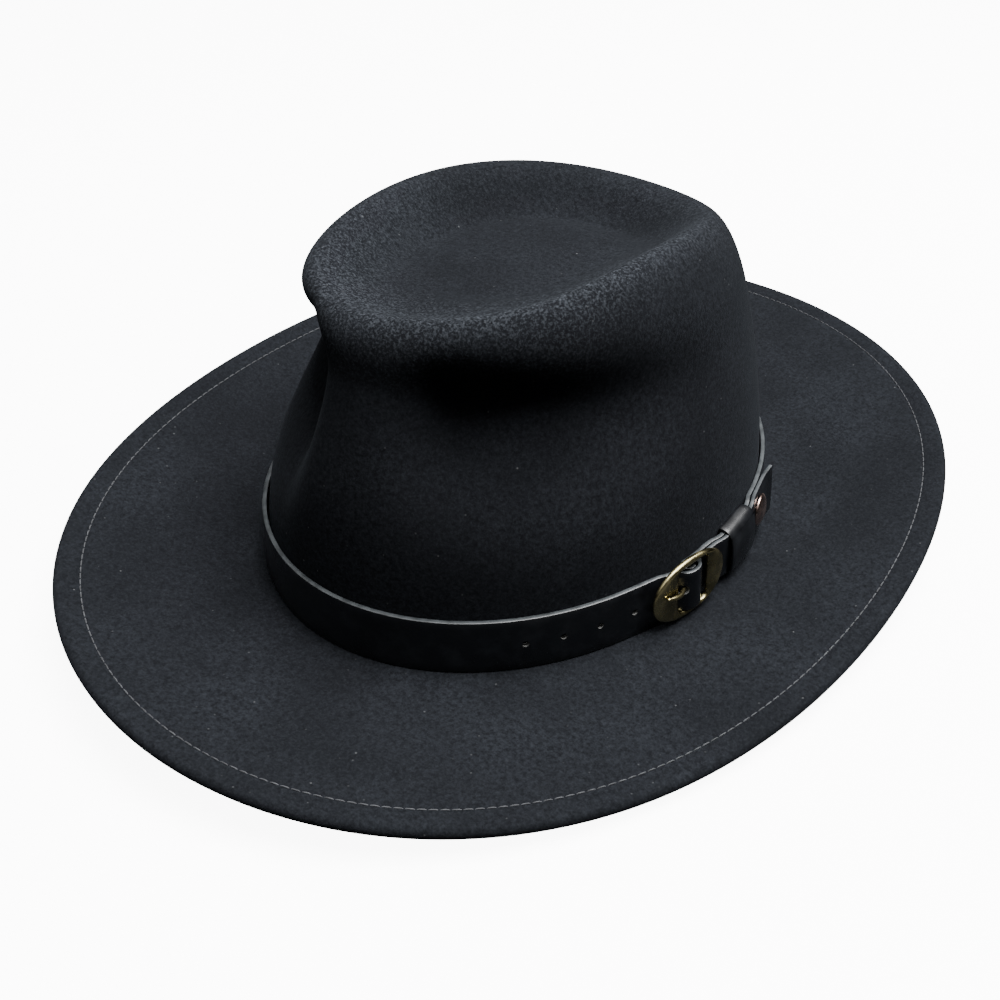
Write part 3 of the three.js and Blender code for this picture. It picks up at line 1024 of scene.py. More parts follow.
    def inside(self, lead: np.ndarray, rows: Sequence[np.ndarray]) -> list[np.ndarray]:
        """Offsets the crown's rows inwards by the felt's thickness.

        Args:
            lead: The row below the crown's first.
            rows: The rows of the outer face, of which the last is the pole.

        Returns:
            Every few rows of the inner face, from the brim to the pole.
        """
        stack = np.stack([lead, *rows])
        across = np.roll(stack, -1, axis=1) - np.roll(stack, 1, axis=1)
        up = stack[2:] - stack[:-2]
        normal = np.cross(across[1:-1], up)
        normal /= np.maximum(np.linalg.norm(normal, axis=-1, keepdims=True), TINY)
        inner = list((stack[1:-1] - normal * self.form.felt)[1 :: self.inner_step])
        return inner + [rows[-1] - np.array([0, 0, self.form.felt])]

    def nap_and_highlight(self, piece: bpy.types.Object) -> None:
        """Writes where lighter fuzz is painted along the ridge: partly nap raised where the felt is
        handled, partly a painted highlight that is strongest on the near side.

        Args:
            piece: The felt, whose mesh gets the attribute of raised nap and painted highlight.
        """
        count = len(piece.data.vertices)
        place = np.zeros(count * 3)
        piece.data.vertices.foreach_get("co", place)
        place = place.reshape(-1, 3) / MM
        centre = np.array([0, -self.form.crown_ahead - self.form.ridge_middle])
        turn = np.arctan2(place[:, 0] - centre[0], -(place[:, 1] - centre[1]))
        edge = self.form.ridge(turn, 1)[:, :2]
        reach = np.linalg.norm(place[:, :2] - centre, axis=1)
        reach /= np.linalg.norm(edge - centre, axis=1)
        width = np.where(reach < self.nap_highlight_crest, self.nap_highlight_inside, self.nap_highlight_outside)
        rim = np.exp(-(((reach - self.nap_highlight_crest) / width) ** 2))
        rim *= smooth_step(place[:, 2], *self.nap_highlight_heights)
        # the painted highlight is strongest towards the turn of the near side
        towards = np.cos(turn - math.radians(self.highlight_side))
        value = np.clip(rim * (self.nap_highlight_even + (1 - self.nap_highlight_even) * towards), 0, 1)
        layer = piece.data.attributes.new("nap_and_highlight", "FLOAT", "POINT")
        layer.data.foreach_set("value", value.astype(np.float32))

    def build(self) -> bpy.types.Object:
        """Builds and dresses the felt.

        Returns:
            The felt's object.
        """
        turn = self.turns()
        upper, crown = self.upper_rows(turn), self.crown_rows(turn)
        inner = self.inside(upper[-1], crown)[::-1]
        rows = np.stack([*inner, *self.under_rows(turn), *upper, *crown])
        piece = wrapped_grid(self.name, rows)
        self.nap_and_highlight(piece)
        smooth(piece, self.crease)
        piece.data.materials.append(self.finish.material())
        return finish_piece(piece, ["felt_body"])


class Side(Enum):
    """Side of the brim that a row of stitches shows on."""

    UPPER = 1
    UNDER = -1


@dataclass
class BrimStitching:
    """One row of lockstitches that holds the folded edge, seen on both faces of the brim."""

    felt: FeltBody
    finish: MottledFinish
    name: str = "brim_stitches"
    pitch: float = 3.2
    length: float = 2.7
    thickness: float = 0.42
    sides: int = 7
    crease: float = 60
    straight: float = 0.55
    taper: float = 0.35
    sunk: float = 0.02
    dip: float = 0.30
    line_points: int = 1441

    def seam(self, side: Side) -> np.ndarray:
        """Gives the places of the stitches on one face of the brim, evenly spaced and in order.

        Args:
            side: The face of the brim.

        Returns:
            One point for each stitch.
        """
        turn = np.linspace(0, TURN, self.line_points)
        below = 0 if side is Side.UPPER else self.felt.welt_thickness
        line = self.felt.edge_row(turn, self.felt.groove_inset, below)
        length = np.concatenate([[0], np.cumsum(np.linalg.norm(np.diff(line, axis=0), axis=1))])
        count = round(length[-1] / self.pitch)
        wanted = np.arange(count) / count * length[-1]
        return np.column_stack([np.interp(wanted, length, line[:, k]) for k in range(3)])

    def stitch(self) -> bpy.types.Object:
        """Models one stitch along X: a rod of thread whose ends dip into the felt.

        Returns:
            The stitch, which is used up as a pattern.
        """
        half = self.length / 2 * MM
        piece = rod(
            "stitch", self.thickness / 2, self.length, (0, 0, 0), Axis.ALONG, self.sides
        )
        bpy.ops.object.transform_apply(location=False, rotation=True, scale=False)
        for x in (-self.straight * half, self.straight * half):
            bpy.ops.object.mode_set(mode="EDIT")
            bpy.ops.mesh.select_all(action="SELECT")
            bpy.ops.mesh.bisect(plane_co=(x, 0, 0), plane_no=(1, 0, 0))
            bpy.ops.object.mode_set(mode="OBJECT")
        for vertex in piece.data.vertices:
            end = max(0, abs(vertex.co.x) / half - self.straight) / (1 - self.straight)
            vertex.co.z -= self.dip * MM * end * end
            vertex.co.y *= 1 - self.taper * end
        return piece

    def build(self) -> bpy.types.Object:
        """Builds both rows of stitches and dresses them.

        Returns:
            The stitches' object.
        """
        pattern = self.stitch()
        model = np.array([v.co for v in pattern.data.vertices])
        faces = [tuple(p.vertices) for p in pattern.data.polygons]
        points, polygons = [], []
        for side in Side:
            seam = self.seam(side)
            ahead = np.roll(seam, -1, axis=0) - np.roll(seam, 1, axis=0)
            ahead /= np.linalg.norm(ahead, axis=1, keepdims=True)
            up = np.tile([0.0, 0.0, float(side.value)], (len(seam), 1))
            across = np.cross(up, ahead)
            across /= np.linalg.norm(across, axis=1, keepdims=True)
            up = np.cross(ahead, across)
            lift = (self.thickness / 2 - self.sunk) * MM
            for place, x, y, z in zip(seam * MM, ahead, across, up):
                start = len(points)
                points += list(place + z * lift + model @ np.array([x, y, z]))
                polygons += [tuple(start + k for k in face) for face in faces]
        bpy.data.objects.remove(pattern)
        mesh = bpy.data.meshes.new(self.name)
        mesh.from_pydata([tuple(p) for p in points], [], polygons)
        piece = bpy.data.objects.new(self.name, mesh)
        bpy.context.scene.collection.objects.link(piece)
        smooth(piece, self.crease)
        mesh.materials.append(self.finish.material())
        return finish_piece(piece)


# The strap and its fittings


@dataclass(frozen=True)
class StrapPlan:
    """Where the strap runs, unrolled: along the crown from the bar, and out from the crown."""

    form: HatForm
    gap: float = 0.3
    leather: float = 1.6
    fold_leather: float = 1.1
    tongue_leather: float = 1.4
    bottom: float = 2.7
    top: float = 22.6
    narrow_bottom: float = 6.3
    narrow_top: float = 22.3
    narrow: tuple[float, float, float, float] = (-12, -9.5, 41, 44)
    bar_at: float = 85
    mm_per_degree: float = 1.81
    bar_radius: float = 1.1
    strap_out: float = 1.25
    stud_at: float = 52
    buckle_down: float = 0.45
    prong_up: float = 0.9
    tongue_pared: tuple[float, float] = (-20, -10)
    fold_pared: tuple[float, float] = (4, 12)
    fold_end: tuple[float, float] = (1.5, -0.1)
    fold_step: int = 15
    fold_pieces: int = 110
    passing_pieces: int = 150
    plain_step: float = 3
    after_fold: tuple[tuple[float, float], ...] = (  # along, out
        (7, 0), (15, 0.1), (20, 1.1), (30.5, 1.15), (41, 1.1), (46, 0.1),
    )
    passing: tuple[tuple[float, float], ...] = (  # along, out
        (-22, 0), (-14, 0.4), (-9, 1.2), (-6.2, 1.8), (-4.8, 2.9), (-2.8, 4.7), (0, 5.4),
        (2.8, 4.8), (4.2, 3.4), (5.6, 2.3), (8.5, 1.9), (15, 1.95), (20, 2.85), (30.5, 2.9),
        (41, 2.85), (47, 1.95), (56, 1.85), (62, 2.35), (68, 3.8),
    )

    @property
    def bar_out(self) -> float:
        """Distance of the buckle's bar from the crown."""
        return self.strap_out + self.loop_radius

    @property
    def loop_radius(self) -> float:
        """Radius of the strap's middle line round the bar."""
        return self.bar_radius + self.gap + self.fold_leather / 2

    @property
    def buckle_middle(self) -> float:
        """Height of the buckle's middle."""
        return (self.narrow_bottom + self.narrow_top) / 2 - self.buckle_down

    @property
    def prong_middle(self) -> float:
        """Height of the prong's eye and of its holes in the leather."""
        return self.buckle_middle + self.prong_up

    @property
    def middle(self) -> float:
        """Height of the strap's middle away from the buckle."""
        return (self.bottom + self.top) / 2

    @property
    def full_turn(self) -> float:
        """Length once round the crown, unrolled."""
        return 360 * self.mm_per_degree

    def point(self, along: np.ndarray, out: np.ndarray, height: np.ndarray) -> np.ndarray:
        """Places points of the unrolled plan on the crown.

        Args:
            along: Distances along from the bar towards the back.
            out: Distances out from the crown.
            height: Heights above the rest.

        Returns:
            Points in space.
        """
        spread = np.broadcast_arrays(along, out, height)
        along, out, height = (np.atleast_1d(np.asarray(v, float)).ravel() for v in spread)
        turn = np.radians(self.bar_at + along / self.mm_per_degree)
        return self.form.wall_at(turn, height) + self.form.head_oval(turn)[1] * out[:, None]

    def edges(self, along: float) -> tuple[float, float]:
        """Gives the strap's lower and upper edge at a place along it.

        Args:
            along: Distance along from the bar.

        Returns:
            Both heights.
        """
        a, b, c, d = self.narrow
        share = float(smooth_step(along, a, b) - smooth_step(along, c, d))
        return (
            self.bottom + share * (self.narrow_bottom - self.bottom),
            self.top + share * (self.narrow_top - self.top),
        )

    def thickness(self, along: float, tongue: bool) -> float:
        """Gives the leather's thickness, which is pared down at the fold and in the tongue.

        Args:
            along: Distance along from the bar.
            tongue: Whether the place is on the end that passes through the buckle.

        Returns:
            The thickness.
        """
        if tongue:
            share, thin = float(smooth_step(along, *self.tongue_pared)), self.tongue_leather
        else:
            share, thin = 1 - float(smooth_step(along, *self.fold_pared)), self.fold_leather
        return self.leather + share * (thin - self.leather)

    def line(self) -> np.ndarray:
        """Gives the leather's middle line in the unrolled plan, from the fold's end to the tip.

        Returns:
            Pairs of a distance along and a distance out.
        """
        radius = self.loop_radius
        arc = [
            (radius * math.cos(turn), radius + radius * math.sin(turn))
            for turn in np.radians(range(90, 271, self.fold_step))
        ]
        end, drop = self.fold_end
        fold = spaced_curve([(end, arc[0][1] + drop), *arc, *self.after_fold], self.fold_pieces)
        last = spaced_curve(self.passing, self.passing_pieces) + np.array([self.full_turn, 0])
        steps = round((last[0, 0] - fold[-1, 0]) / self.plain_step)
        middle = fold[-1] + (last[0] - fold[-1]) * (np.arange(1, steps) / steps)[:, None]
        return np.vstack([fold, middle, last]) + np.array([0, self.strap_out])

    def axes(self, along: float, height: float) -> Matrix:
        """Gives axes on the strap: X along it, Y up the wall and Z out, in metres.

        Args:
            along: Distance along from the bar.
            height: Height above the rest.

        Returns:
            The axes as a matrix.
        """
        step = self.leather
        origin = self.point(along, 0, height)[0]
        x = self.point(along + step, 0, height)[0] - self.point(along - step, 0, height)[0]
        y = self.point(along, 0, height + step)[0] - self.point(along, 0, height - step)[0]
        x, y = Vector(x).normalized(), Vector(y).normalized()
        z = x.cross(y).normalized()
        turned = Matrix((x, y, z)).transposed().to_4x4()
        return Matrix.Translation(Vector(origin) * MM) @ turned


def place_on(piece: bpy.types.Object, axes: Matrix) -> None:
    """Moves a piece's mesh from its own axes to axes on the strap; its object stays put.

    Args:
        piece: The piece that moves.
        axes: Axes on the strap.
    """
    piece.data.transform(piece.matrix_world)
    piece.matrix_world = Matrix.Identity(4)
    piece.data.transform(axes)


@dataclass
class LeatherStrap:
    """One leather strap: folded round the bar, round the crown, and through buckle and keeper."""

    plan: StrapPlan
    face: LeatherFinish
    edge: MottledFinish
    raw: MottledFinish
    name: str = "leather_strap"
    corner: float = 0.34
    width_points: int = 8
    holes: tuple[float, ...] = (-22.6, -36.1, -49.6, -63.1)
    hole_radius: float = 1.1
    one_layer: tuple[float, float] = (-1, 5)
    prong_hole: tuple[float, float] = (-4.6, 1.9)
    tongue_layer: tuple[float, float] = (2.4, 12)
    slot_radius: float = 2.65
    slot_height: float = 3.0
    stud_hole: float = 1.5
    both_layers: tuple[float, float] = (-1, 9)
    edge_slope: float = 0.82
    crease: float = 40

    def section(self, bottom: float, top: float, thick: float) -> list[tuple[float, float]]:
        """Gives the leather's outline of that thickness: out from its middle, and height.

        Args:
            bottom: Height of the lower edge.
            top: Height of the upper edge.
            thick: The leather's thickness.

        Returns:
            Pairs of a distance out and a height, once round the section.
        """
        half, corner = thick / 2, self.corner
        turned = []
        for out, up, start in ((1, -1, -90), (1, 1, 0), (-1, 1, 90), (-1, -1, 180)):
            for angle in np.radians([start, start + 45, start + 90]):
                x = out * (half - corner) + corner * math.cos(angle)
                y = (top if up > 0 else bottom) - up * corner + corner * math.sin(angle)
                turned.append((x, y))
        heights = np.linspace(bottom, top, self.width_points)[1:-1]
        outer = [(half, h) for h in heights]
        inner = [(-half, h) for h in heights[::-1]]
        return turned[:3] + outer + turned[3:9] + inner + turned[9:]

    def rows(self) -> np.ndarray:
        """Gives the strap's sections in space, from the fold's end to the free tip.

        Returns:
            An array of sections by points by three.
        """
        line = self.plan.line()
        before = np.vstack([line[:1], line[:-1]])
        after = np.vstack([line[1:], line[-1:]])
        side = np.column_stack([before[:, 1] - after[:, 1], after[:, 0] - before[:, 0]])
        side /= np.linalg.norm(side, axis=1, keepdims=True)
        rows = []
        for (along, out), (sx, sy) in zip(line, side):
            tongue = along > self.plan.full_turn / 2
            turned = along - self.plan.full_turn if tongue else along
            thick = self.plan.thickness(turned, tongue)
            shape = np.array(self.section(*self.plan.edges(turned), thick))
            rows.append(
                self.plan.point(along + sx * shape[:, 0], out + sy * shape[:, 0], shape[:, 1])
            )
        return np.stack(rows)

    def punch(
        self,
        piece: bpy.types.Object,
        along: float,
        height: float,
        radius: float,
        layer: tuple[float, float],
    ) -> None:
        """Punches a round hole.

        Args:
            piece: The strap.
            along: The hole's place along the strap.
            height: Its height.
            radius: Its radius.
            layer: Where the punch starts and ends, out from the crown.
        """
        start, end = layer
        cutter = rod("punch", radius, end - start, (0, 0, (start + end) / 2))
        place_on(cutter, self.plan.axes(along, height))
        self.cut(piece, cutter)

    def cut(self, piece: bpy.types.Object, cutter: bpy.types.Object) -> None:
        """Cuts an opening, whose wall shows raw leather.

        Args:
            piece: The strap.
            cutter: The cutter, which is used up.
        """
        slots = len(piece.data.materials)
        for _ in range(slots):
            cutter.data.materials.append(None)
        for polygon in cutter.data.polygons:
            polygon.material_index = slots - 1
        combine(piece, cutter, Boolean.CUT)

    def bar_slot(self) -> bpy.types.Object:
        """Models the cutter of the slot that the prong's eye stands in, at the fold.

        Returns:
            The cutter.
        """
        middle = (0, 0, self.plan.bar_out)
        cutter = rod("slot_cutter", self.slot_radius, self.slot_height, middle, Axis.UP, 40)
        place_on(cutter, self.plan.axes(0, self.plan.prong_middle))
        return cutter

    def mark_edges(self, piece: bpy.types.Object) -> None:
        """Gives the cut edges' finish, burnished and painted pale grey as a highlight, to the faces
        that look up or down.

        Args:
            piece: The strap.
        """
        for polygon in piece.data.polygons:
            if abs(polygon.normal.z) > self.edge_slope:
                polygon.material_index = 1

    def build(self) -> bpy.types.Object:
        """Builds the strap, cuts its holes and dresses it.

        Returns:
            The strap's object.
        """
        plan = self.plan
        piece = wrapped_grid(self.name, self.rows())
        for finish in (self.face, self.edge, self.raw):
            piece.data.materials.append(finish.material())
        self.mark_edges(piece)
        for along in self.holes:
            self.punch(piece, along, plan.middle, self.hole_radius, self.one_layer)
        along, radius = self.prong_hole
        self.punch(piece, along, plan.prong_middle, radius, self.tongue_layer)
        self.punch(piece, plan.stud_at, plan.middle, self.stud_hole, self.both_layers)
        self.cut(piece, self.bar_slot())
        smooth(piece, self.crease)
        return finish_piece(piece, ["hat_band"])


@dataclass
class Buckle:
    """The oval frame with its bar, and the prong that turns on it."""

    plan: StrapPlan
    finish: MetalFinish
    frame_out: float = 5.1
    outer: tuple[float, float, float] = (17.2, 11.6, 2.2)
    outer_middle: tuple[float, float] = (-1.2, 0.95)
    inner: tuple[float, float, float] = (7.2, 9.1, 8.0)
    inner_middle: tuple[float, float] = (0.4, 0.9)
    section: tuple[tuple[float, float], ...] = (  # share from inside to outside, out
        (0, -0.8), (0, -0.1), (0.01, 0.4), (0.15, 0.75), (0.32, 1.02), (0.5, 1.1), (0.68, 1.0),
        (0.85, 0.75), (0.985, 0.25), (1, -0.1), (1, -0.8), (0.9, -0.8), (0.1, -0.8),
    )
    steps: int = 72
    posts: tuple[float, float] = (-9.0, 10.0)
    post_size: tuple[float, float] = (2.4, 1.3)
    post_bevel: float = 0.2
    crease: float = 50
    eye: tuple[float, float] = (1.95, 0.6)
    shank_sides: int = 16
    shank_steps: int = 40
    tip_rounding: tuple[float, float] = (0.9, 0.55)
    shank: tuple[tuple[float, float, float, float], ...] = (  # along, out, radius, up
        (-1.6, 4.5, 0.7, 0), (-3.4, 4.95, 0.75, 0), (-5.0, 5.6, 0.8, 0.1), (-7.3, 6.9, 0.9, 0.5),
        (-10, 7.25, 0.9, 1.15), (-13.8, 6.9, 0.65, 2.05),
    )

    @staticmethod
    def oval(size: tuple[float, float, float], turn: np.ndarray) -> np.ndarray:
        """Gives points of a squared oval of that half length, half height and power.

        Args:
            size: Half length, half height and power.
            turn: Angles round the oval.

        Returns:
            The points, one for each angle.
        """
        half_length, half_height, power = size
        x, y = np.cos(turn), np.sin(turn)
        x = np.sign(x) * np.abs(x) ** (2 / power)
        y = np.sign(y) * np.abs(y) ** (2 / power)
        return np.column_stack([half_length * x, half_height * y])

    def dressed(
        self, piece: bpy.types.Object, brass: bpy.types.Material, height: float, node: str
    ) -> bpy.types.Object:
        """Sets a brass piece on the strap at that height and dresses it for its solid.

        Args:
            piece: The piece.
            brass: Its material.
            height: Height of its middle on the strap.
            node: The solid that it stands for.

        Returns:
            The finished piece.
        """
        place_on(piece, self.plan.axes(0, height))
        smooth(piece, self.crease)
        piece.data.materials.clear()
        piece.data.materials.append(brass)
        return finish_piece(piece, [node])

    def post(self, up: float) -> bpy.types.Object:
        """Models one of the posts that hold the bar, at a height from the buckle's middle.

        Args:
            up: The post's height from the buckle's middle.

        Returns:
            The post.
        """
        long, wide = self.post_size
        bottom = self.plan.bar_out - self.plan.bar_radius / 2
        deselect()
        bpy.ops.mesh.primitive_cube_add(
            size=1, location=(0, up * MM, (self.frame_out + bottom) / 2 * MM),
            scale=(long * MM, wide * MM, (self.frame_out - bottom) * MM),
        )
        post = named("post")
        only(post)
        bpy.ops.object.transform_apply(location=True, rotation=True, scale=True)
        apply_modifier(post, "BEVEL", width=self.post_bevel * MM, segments=2)
        return post

    def build_frame(self, brass: bpy.types.Material) -> bpy.types.Object:
        """Builds the frame, its bar and the posts that hold the bar.

        Args:
            brass: The frame's material.

        Returns:
            The finished piece.
        """
        turn = np.arange(self.steps) * TURN / self.steps
        inner = self.oval(self.inner, turn) + np.array(self.inner_middle)
        outer = self.oval(self.outer, turn) + np.array(self.outer_middle)
        rows = []
        for share, out in (*self.section, self.section[0]):
            ring = inner + (outer - inner) * share
            rows.append(np.column_stack([ring, np.full(self.steps, self.frame_out + out)]))
        piece = wrapped_grid("buckle_frame_brass", np.stack(rows))
        apply_modifier(piece, "SUBSURF", levels=1, render_levels=1)
        low, high = self.posts
        length = high - low - self.post_size[1] / 2
        middle = (0, (low + high) / 2, self.plan.bar_out)
        bar = rod("bar", self.plan.bar_radius, length, middle, Axis.UP)
        combine(piece, bar, Boolean.ADD)
        for up in self.posts:
            combine(piece, self.post(up), Boolean.ADD)
        return self.dressed(piece, brass, self.plan.buckle_middle, "buckle_frame")

    def shank_rows(self) -> np.ndarray:
        """Gives the sections of the prong's shank, from the eye to the rounded tip.

        Returns:
            An array of sections by points by three.
        """
        last = self.shank_steps
        line = spaced_curve(self.shank, last)
        rounding = np.ones(last + 1)
        rounding[-2:] = self.tip_rounding
        sides = np.arange(self.shank_sides) * TURN / self.shank_sides
        rows = []
        for i, (along, out, radius, up) in enumerate(line):
            ahead = line[min(i + 1, last), :2] - line[max(i - 1, 0), :2]
            ahead /= np.linalg.norm(ahead)
            rounded = radius * rounding[i]
            x = along - ahead[1] * rounded * np.cos(sides)
            z = out + ahead[0] * rounded * np.cos(sides)
            rows.append(np.column_stack([x, up + rounded * np.sin(sides), z]))
        start, end = (np.tile(line[k][[0, 3, 1]], (self.shank_sides, 1)) for k in (0, -1))
        return np.stack([start, *rows, end])

    def build_prong(self, brass: bpy.types.Material) -> bpy.types.Object:
        """Builds the prong: an eye round the bar and a tapered shank that rests on the rim.

        Args:
            brass: The prong's material.

        Returns:
            The finished piece.
        """
        ring, tube = self.eye
        deselect()
        bpy.ops.mesh.primitive_torus_add(
            major_segments=40, minor_segments=16, major_radius=ring * MM, minor_radius=tube * MM,
            rotation=Axis.UP.value, location=(0, 0, self.plan.bar_out * MM),
        )
        piece = named("buckle_prong_brass")
        bpy.ops.object.transform_apply(location=True, rotation=True, scale=True)
        combine(piece, wrapped_grid("shank", self.shank_rows()), Boolean.ADD)
        return self.dressed(piece, brass, self.plan.prong_middle, "buckle_prong")

    def build(self) -> None:
        """Builds the frame and the prong, both of the same brass."""
        brass = self.finish.material()
        self.build_frame(brass)
        self.build_prong(brass)


@dataclass
class Keeper:
    """The leather loop that holds both layers of the strap."""

    plan: StrapPlan
    finish: LeatherFinish
    name: str = "keeper_loop"
    start: float = 21.5
    end: float = 39
    leather: float = 0.9
    inner: float = 1.25
    outer: float = 5.05
    bulge: float = 0.9
    corner: float = 3.0
    near_corner: float = 1.2
    rounding: float = 0.3
    edge_share: float = 0.3
    inner_corner: float = 0.22
    corner_points: int = 5
    bulge_points: int = 9
    bulge_reach: float = 0.8
    length_points: int = 10
    crease: float = 50

    def outline(self, along: float, grow: float, corner: float) -> np.ndarray:
        """Gives the keeper's outline at a place along the strap, grown by an amount.

        Args:
            along: Distance along from the bar.
            grow: How far it stands outside the hollow.
            corner: Radius of the outer corners.

        Returns:
            The outline's points, in millimetres.
        """
        near, far = self.inner - grow, self.outer + grow
        bottom = self.plan.narrow_bottom - self.plan.gap - grow
        top = self.plan.narrow_top + self.plan.gap + grow
        near_corner = min(corner, self.near_corner)
        places = []
        for out, up, first in (
            (near, bottom, 180), (far, bottom, 270), (far, top, 0), (near, top, 90)
        ):
            radius = near_corner if out == near else corner
            x = out + radius * (1 if out == near else -1)
            y = up + radius * (1 if up == bottom else -1)
            for angle in np.radians(np.linspace(first, first + 90, self.corner_points)):
                places.append((x + radius * math.cos(angle), y + radius * math.sin(angle)))
            if out == far and up == bottom:
                for share in np.linspace(-self.bulge_reach, self.bulge_reach, self.bulge_points):
                    height = (bottom + top) / 2 + share * (top - bottom) / 2
                    places.append((far + self.bulge * (1 - share * share), height))
        shape = np.array(places)
        return self.plan.point(along, shape[:, 0], shape[:, 1])

    def build(self) -> bpy.types.Object:
        """Builds and dresses the keeper.

        Returns:
            The finished piece.
        """
        full, part = self.rounding, self.rounding * self.edge_share
        start, end, leather = self.start, self.end, self.leather
        places = np.linspace(start + full, end - full, self.length_points)
        outline = [(start, leather - full), (start + part, leather - part)]
        outline += [(along, leather) for along in places]
        outline += [(end - part, leather - part), (end, leather - full)]
        outline += [(end, full), (end - part, part)]
        outline += [(along, 0) for along in places[::-1]]
        outline += [(start + part, part), (start, full)]
        inner = self.inner_corner
        rows = [
            self.outline(along, grow, self.corner * (inner + (1 - inner) * grow / leather))
            for along, grow in (*outline, outline[0])
        ]
        piece = wrapped_grid(self.name, np.stack(rows))
        smooth(piece, self.crease)
        piece.data.materials.append(self.finish.material())
        return finish_piece(piece, ["band_keeper"])


@dataclass
class Stud:
    """The domed stud through both layers of the strap."""

    plan: StrapPlan
    finish: MetalFinish
    name: str = "copper_stud"
    sides: int = 64
    crease: float = 45
    profile: tuple[tuple[float, float], ...] = (  # radius, out from the crown
        (0, 0.7), (1.05, 0.7), (1.2, 0.85), (1.2, 4.05), (5.7, 4.05), (6.0, 4.17), (6.0, 4.5),
        (5.75, 4.8), (5.1, 5.25), (4.2, 5.65), (3.0, 5.93), (1.5, 6.05), (0, 6.05),
    )

    def build(self) -> bpy.types.Object:
        """Builds and dresses the stud.

        Returns:
            The finished piece.
        """
        turn = np.arange(self.sides) * TURN / self.sides
        rows = [
            np.column_stack([r * np.cos(turn), r * np.sin(turn), np.full(self.sides, out)])
            for r, out in self.profile
        ]
        piece = wrapped_grid(self.name, np.stack(rows))
        place_on(piece, self.plan.axes(self.plan.stud_at, self.plan.middle))
        smooth(piece, self.crease)
        piece.data.materials.append(self.finish.material())
        return finish_piece(piece, ["band_rivet"])


# The studio


@dataclass(frozen=True)
class SoftBox:
    """A square soft light: where it stands, how large and how strong it is, and its colour."""

    name: str
    place: tuple[float, float, float]
    size: float
    power: float
    colour: Colour = (1, 1, 1)


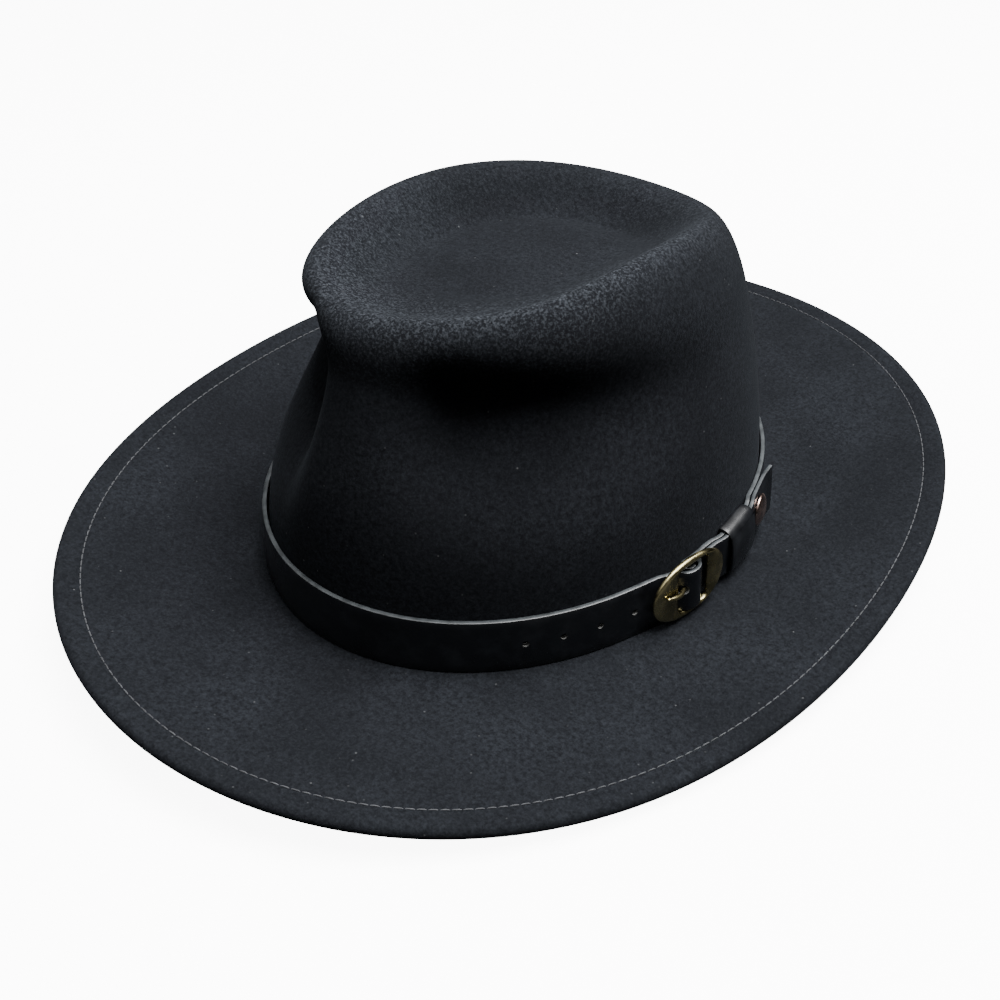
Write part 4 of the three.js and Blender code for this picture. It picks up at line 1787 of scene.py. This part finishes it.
@dataclass
class Studio:
    """A pale floor, soft light and the camera."""

    target: tuple[float, float, float] = (0, -0.006, 0.0322)
    azimuth: float = 41.888
    elevation: float = 38.247
    roll: float = 1.596
    distance: float = 0.402464
    aside: tuple[float, float] = (0.015103, -0.023872)
    focal_px: float = 1081.6
    middle_px: tuple[float, float] = (565.025, 489.866)
    sensor: float = 36
    clip_start: float = 0.01
    floor_size: float = 14
    floor_down: float = 0.0002
    floor_colour: Colour = (0.86, 0.86, 0.86)
    floor_roughness: float = 0.9
    floor_specular: float = 0.1
    floor_glow: float = 9.0
    card_down: float = 0.0001
    card_colour: Colour = (0, 0, 0)
    card_glow: float = 0.15
    white: Colour = (1, 1, 1)
    sky_heights: tuple[float, float] = (0.5, 1.0)
    sky_strengths: tuple[float, float] = (0.0, 1.2)
    lights: tuple[SoftBox, ...] = (
        SoftBox("overhead", (0.26, 0.34, 1.35), 1.0, 79),
    )

    def build(self) -> None:
        """Builds the floor, the lights and the camera."""
        pale = self.pale()
        self.lay_floor(pale)
        self.raise_backdrop(pale)
        self.lay_reflector()
        self.hang_lights()
        self.light_sky()
        self.set_camera()

    def pale(self) -> bpy.types.Material:
        """Builds the bright, plain finish of the floor and the backdrop.

        Returns:
            The material.
        """
        n = Nodes("pale_floor")
        n.put(
            Base_Color=self.floor_colour, Roughness=self.floor_roughness,
            Specular_IOR_Level=self.floor_specular,
            Emission_Color=self.white, Emission_Strength=self.floor_glow,
        )
        return n.material

    def stand(self, name: str, material: bpy.types.Material, unseen_by: Sequence[str]) -> None:
        """Makes the active object part of the studio and not of the hat.

        Args:
            name: The object's name.
            material: Its finish.
            unseen_by: Kinds of ray that pass it by.
        """
        piece = named(name)
        piece.data.materials.append(material)
        for ray in unseen_by:
            setattr(piece, f"visible_{ray}", False)

    def lay_floor(self, pale: bpy.types.Material) -> None:
        """Lays the floor, which the camera sees and which takes the hat's shadow.

        Args:
            pale: The floor's finish.
        """
        deselect()
        bpy.ops.mesh.primitive_plane_add(size=self.floor_size, location=(0, 0, -self.floor_down))
        self.stand("floor", pale, ("diffuse", "glossy"))

    def raise_backdrop(self, pale: bpy.types.Material) -> None:
        """Raises a dome over the floor that closes the view and throws no light or shadow.

        Args:
            pale: The backdrop's finish.
        """
        deselect()
        bpy.ops.mesh.primitive_uv_sphere_add(
            segments=64, ring_count=32, radius=self.floor_size / 2
        )
        self.stand("backdrop", pale, ("diffuse", "glossy", "shadow"))

    def lay_reflector(self) -> None:
        """Lays a dim card on the floor that only shows mirrored in leather and metal."""
        n = Nodes("dim_card")
        n.put(
            Base_Color=self.card_colour, Emission_Color=self.white,
            Emission_Strength=self.card_glow,
        )
        deselect()
        bpy.ops.mesh.primitive_plane_add(size=self.floor_size, location=(0, 0, -self.card_down))
        self.stand("reflector", n.material, ("camera", "diffuse", "shadow"))

    def hang_lights(self) -> None:
        """Hangs the soft boxes, each turned to the hat."""
        for box in self.lights:
            data = bpy.data.lights.new(box.name, "AREA")
            data.size = box.size
            data.energy = box.power
            data.color = box.colour
            lamp = bpy.data.objects.new(box.name, data)
            bpy.context.scene.collection.objects.link(lamp)
            lamp.location = box.place
            away = Vector(box.place) - Vector(self.target)
            lamp.rotation_euler = away.to_track_quat("Z", "Y").to_euler()

    def light_sky(self) -> None:
        """Lights the room faintly from straight above."""
        world = bpy.data.worlds.new("room")
        world.use_nodes = True
        tree = world.node_tree
        background = tree.nodes["Background"]
        background.inputs["Color"].default_value = (*self.white, 1)
        direction = tree.nodes.new("ShaderNodeTexCoord")
        parts = tree.nodes.new("ShaderNodeSeparateXYZ")
        rise = tree.nodes.new("ShaderNodeMapRange")
        for socket, number in zip(rise.inputs[1:5], (*self.sky_heights, *self.sky_strengths)):
            socket.default_value = number
        tree.links.new(direction.outputs["Generated"], parts.inputs["Vector"])
        tree.links.new(parts.outputs["Z"], rise.inputs["Value"])
        tree.links.new(rise.outputs["Result"], background.inputs["Strength"])
        bpy.context.scene.world = world

    def set_camera(self) -> None:
        """Sets the camera at the viewing angle, with the frame's shift."""
        azimuth, elevation, roll = (
            math.radians(v) for v in (self.azimuth, self.elevation, self.roll)
        )
        back = Vector((
            math.sin(azimuth) * math.cos(elevation),
            -math.cos(azimuth) * math.cos(elevation),
            math.sin(elevation),
        ))
        level = (-back).cross(Vector((0, 0, 1))).normalized()
        upright = level.cross(-back)
        right = level * math.cos(roll) + upright * math.sin(roll)
        up = upright * math.cos(roll) - level * math.sin(roll)
        place = Vector(self.target) + back * self.distance
        place += right * self.aside[0] + up * self.aside[1]
        data = bpy.data.cameras.new("camera")
        data.sensor_width = self.sensor
        data.lens = self.focal_px / FRAME_PX * self.sensor
        data.shift_x = 0.5 - self.middle_px[0] / FRAME_PX
        data.shift_y = self.middle_px[1] / FRAME_PX - 0.5
        data.clip_start = self.clip_start
        camera = bpy.data.objects.new("camera", data)
        bpy.context.scene.collection.objects.link(camera)
        turned = Matrix((right, up, back)).transposed().to_4x4()
        camera.matrix_world = Matrix.Translation(place) @ turned
        bpy.context.scene.camera = camera


def main() -> None:
    """Builds the hat piece by piece, then the studio."""
    logging.basicConfig(level=logging.INFO, format="%(name)s: %(message)s")
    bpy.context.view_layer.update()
    form = HatForm()
    plan = StrapPlan(form)
    leather = LeatherFinish()
    felt = FeltBody(form, FeltFinish())
    felt.build()
    BrimStitching(felt, GREY_THREAD).build()
    LeatherStrap(plan, leather, BURNISHED_EDGE_AND_HIGHLIGHT, RAW_LEATHER).build()
    Keeper(plan, leather).build()
    Buckle(plan, MetalFinish(Patina.BRASS)).build()
    Stud(plan, MetalFinish(Patina.COPPER)).build()
    Studio().build()


if __name__ == "__main__":
    main()
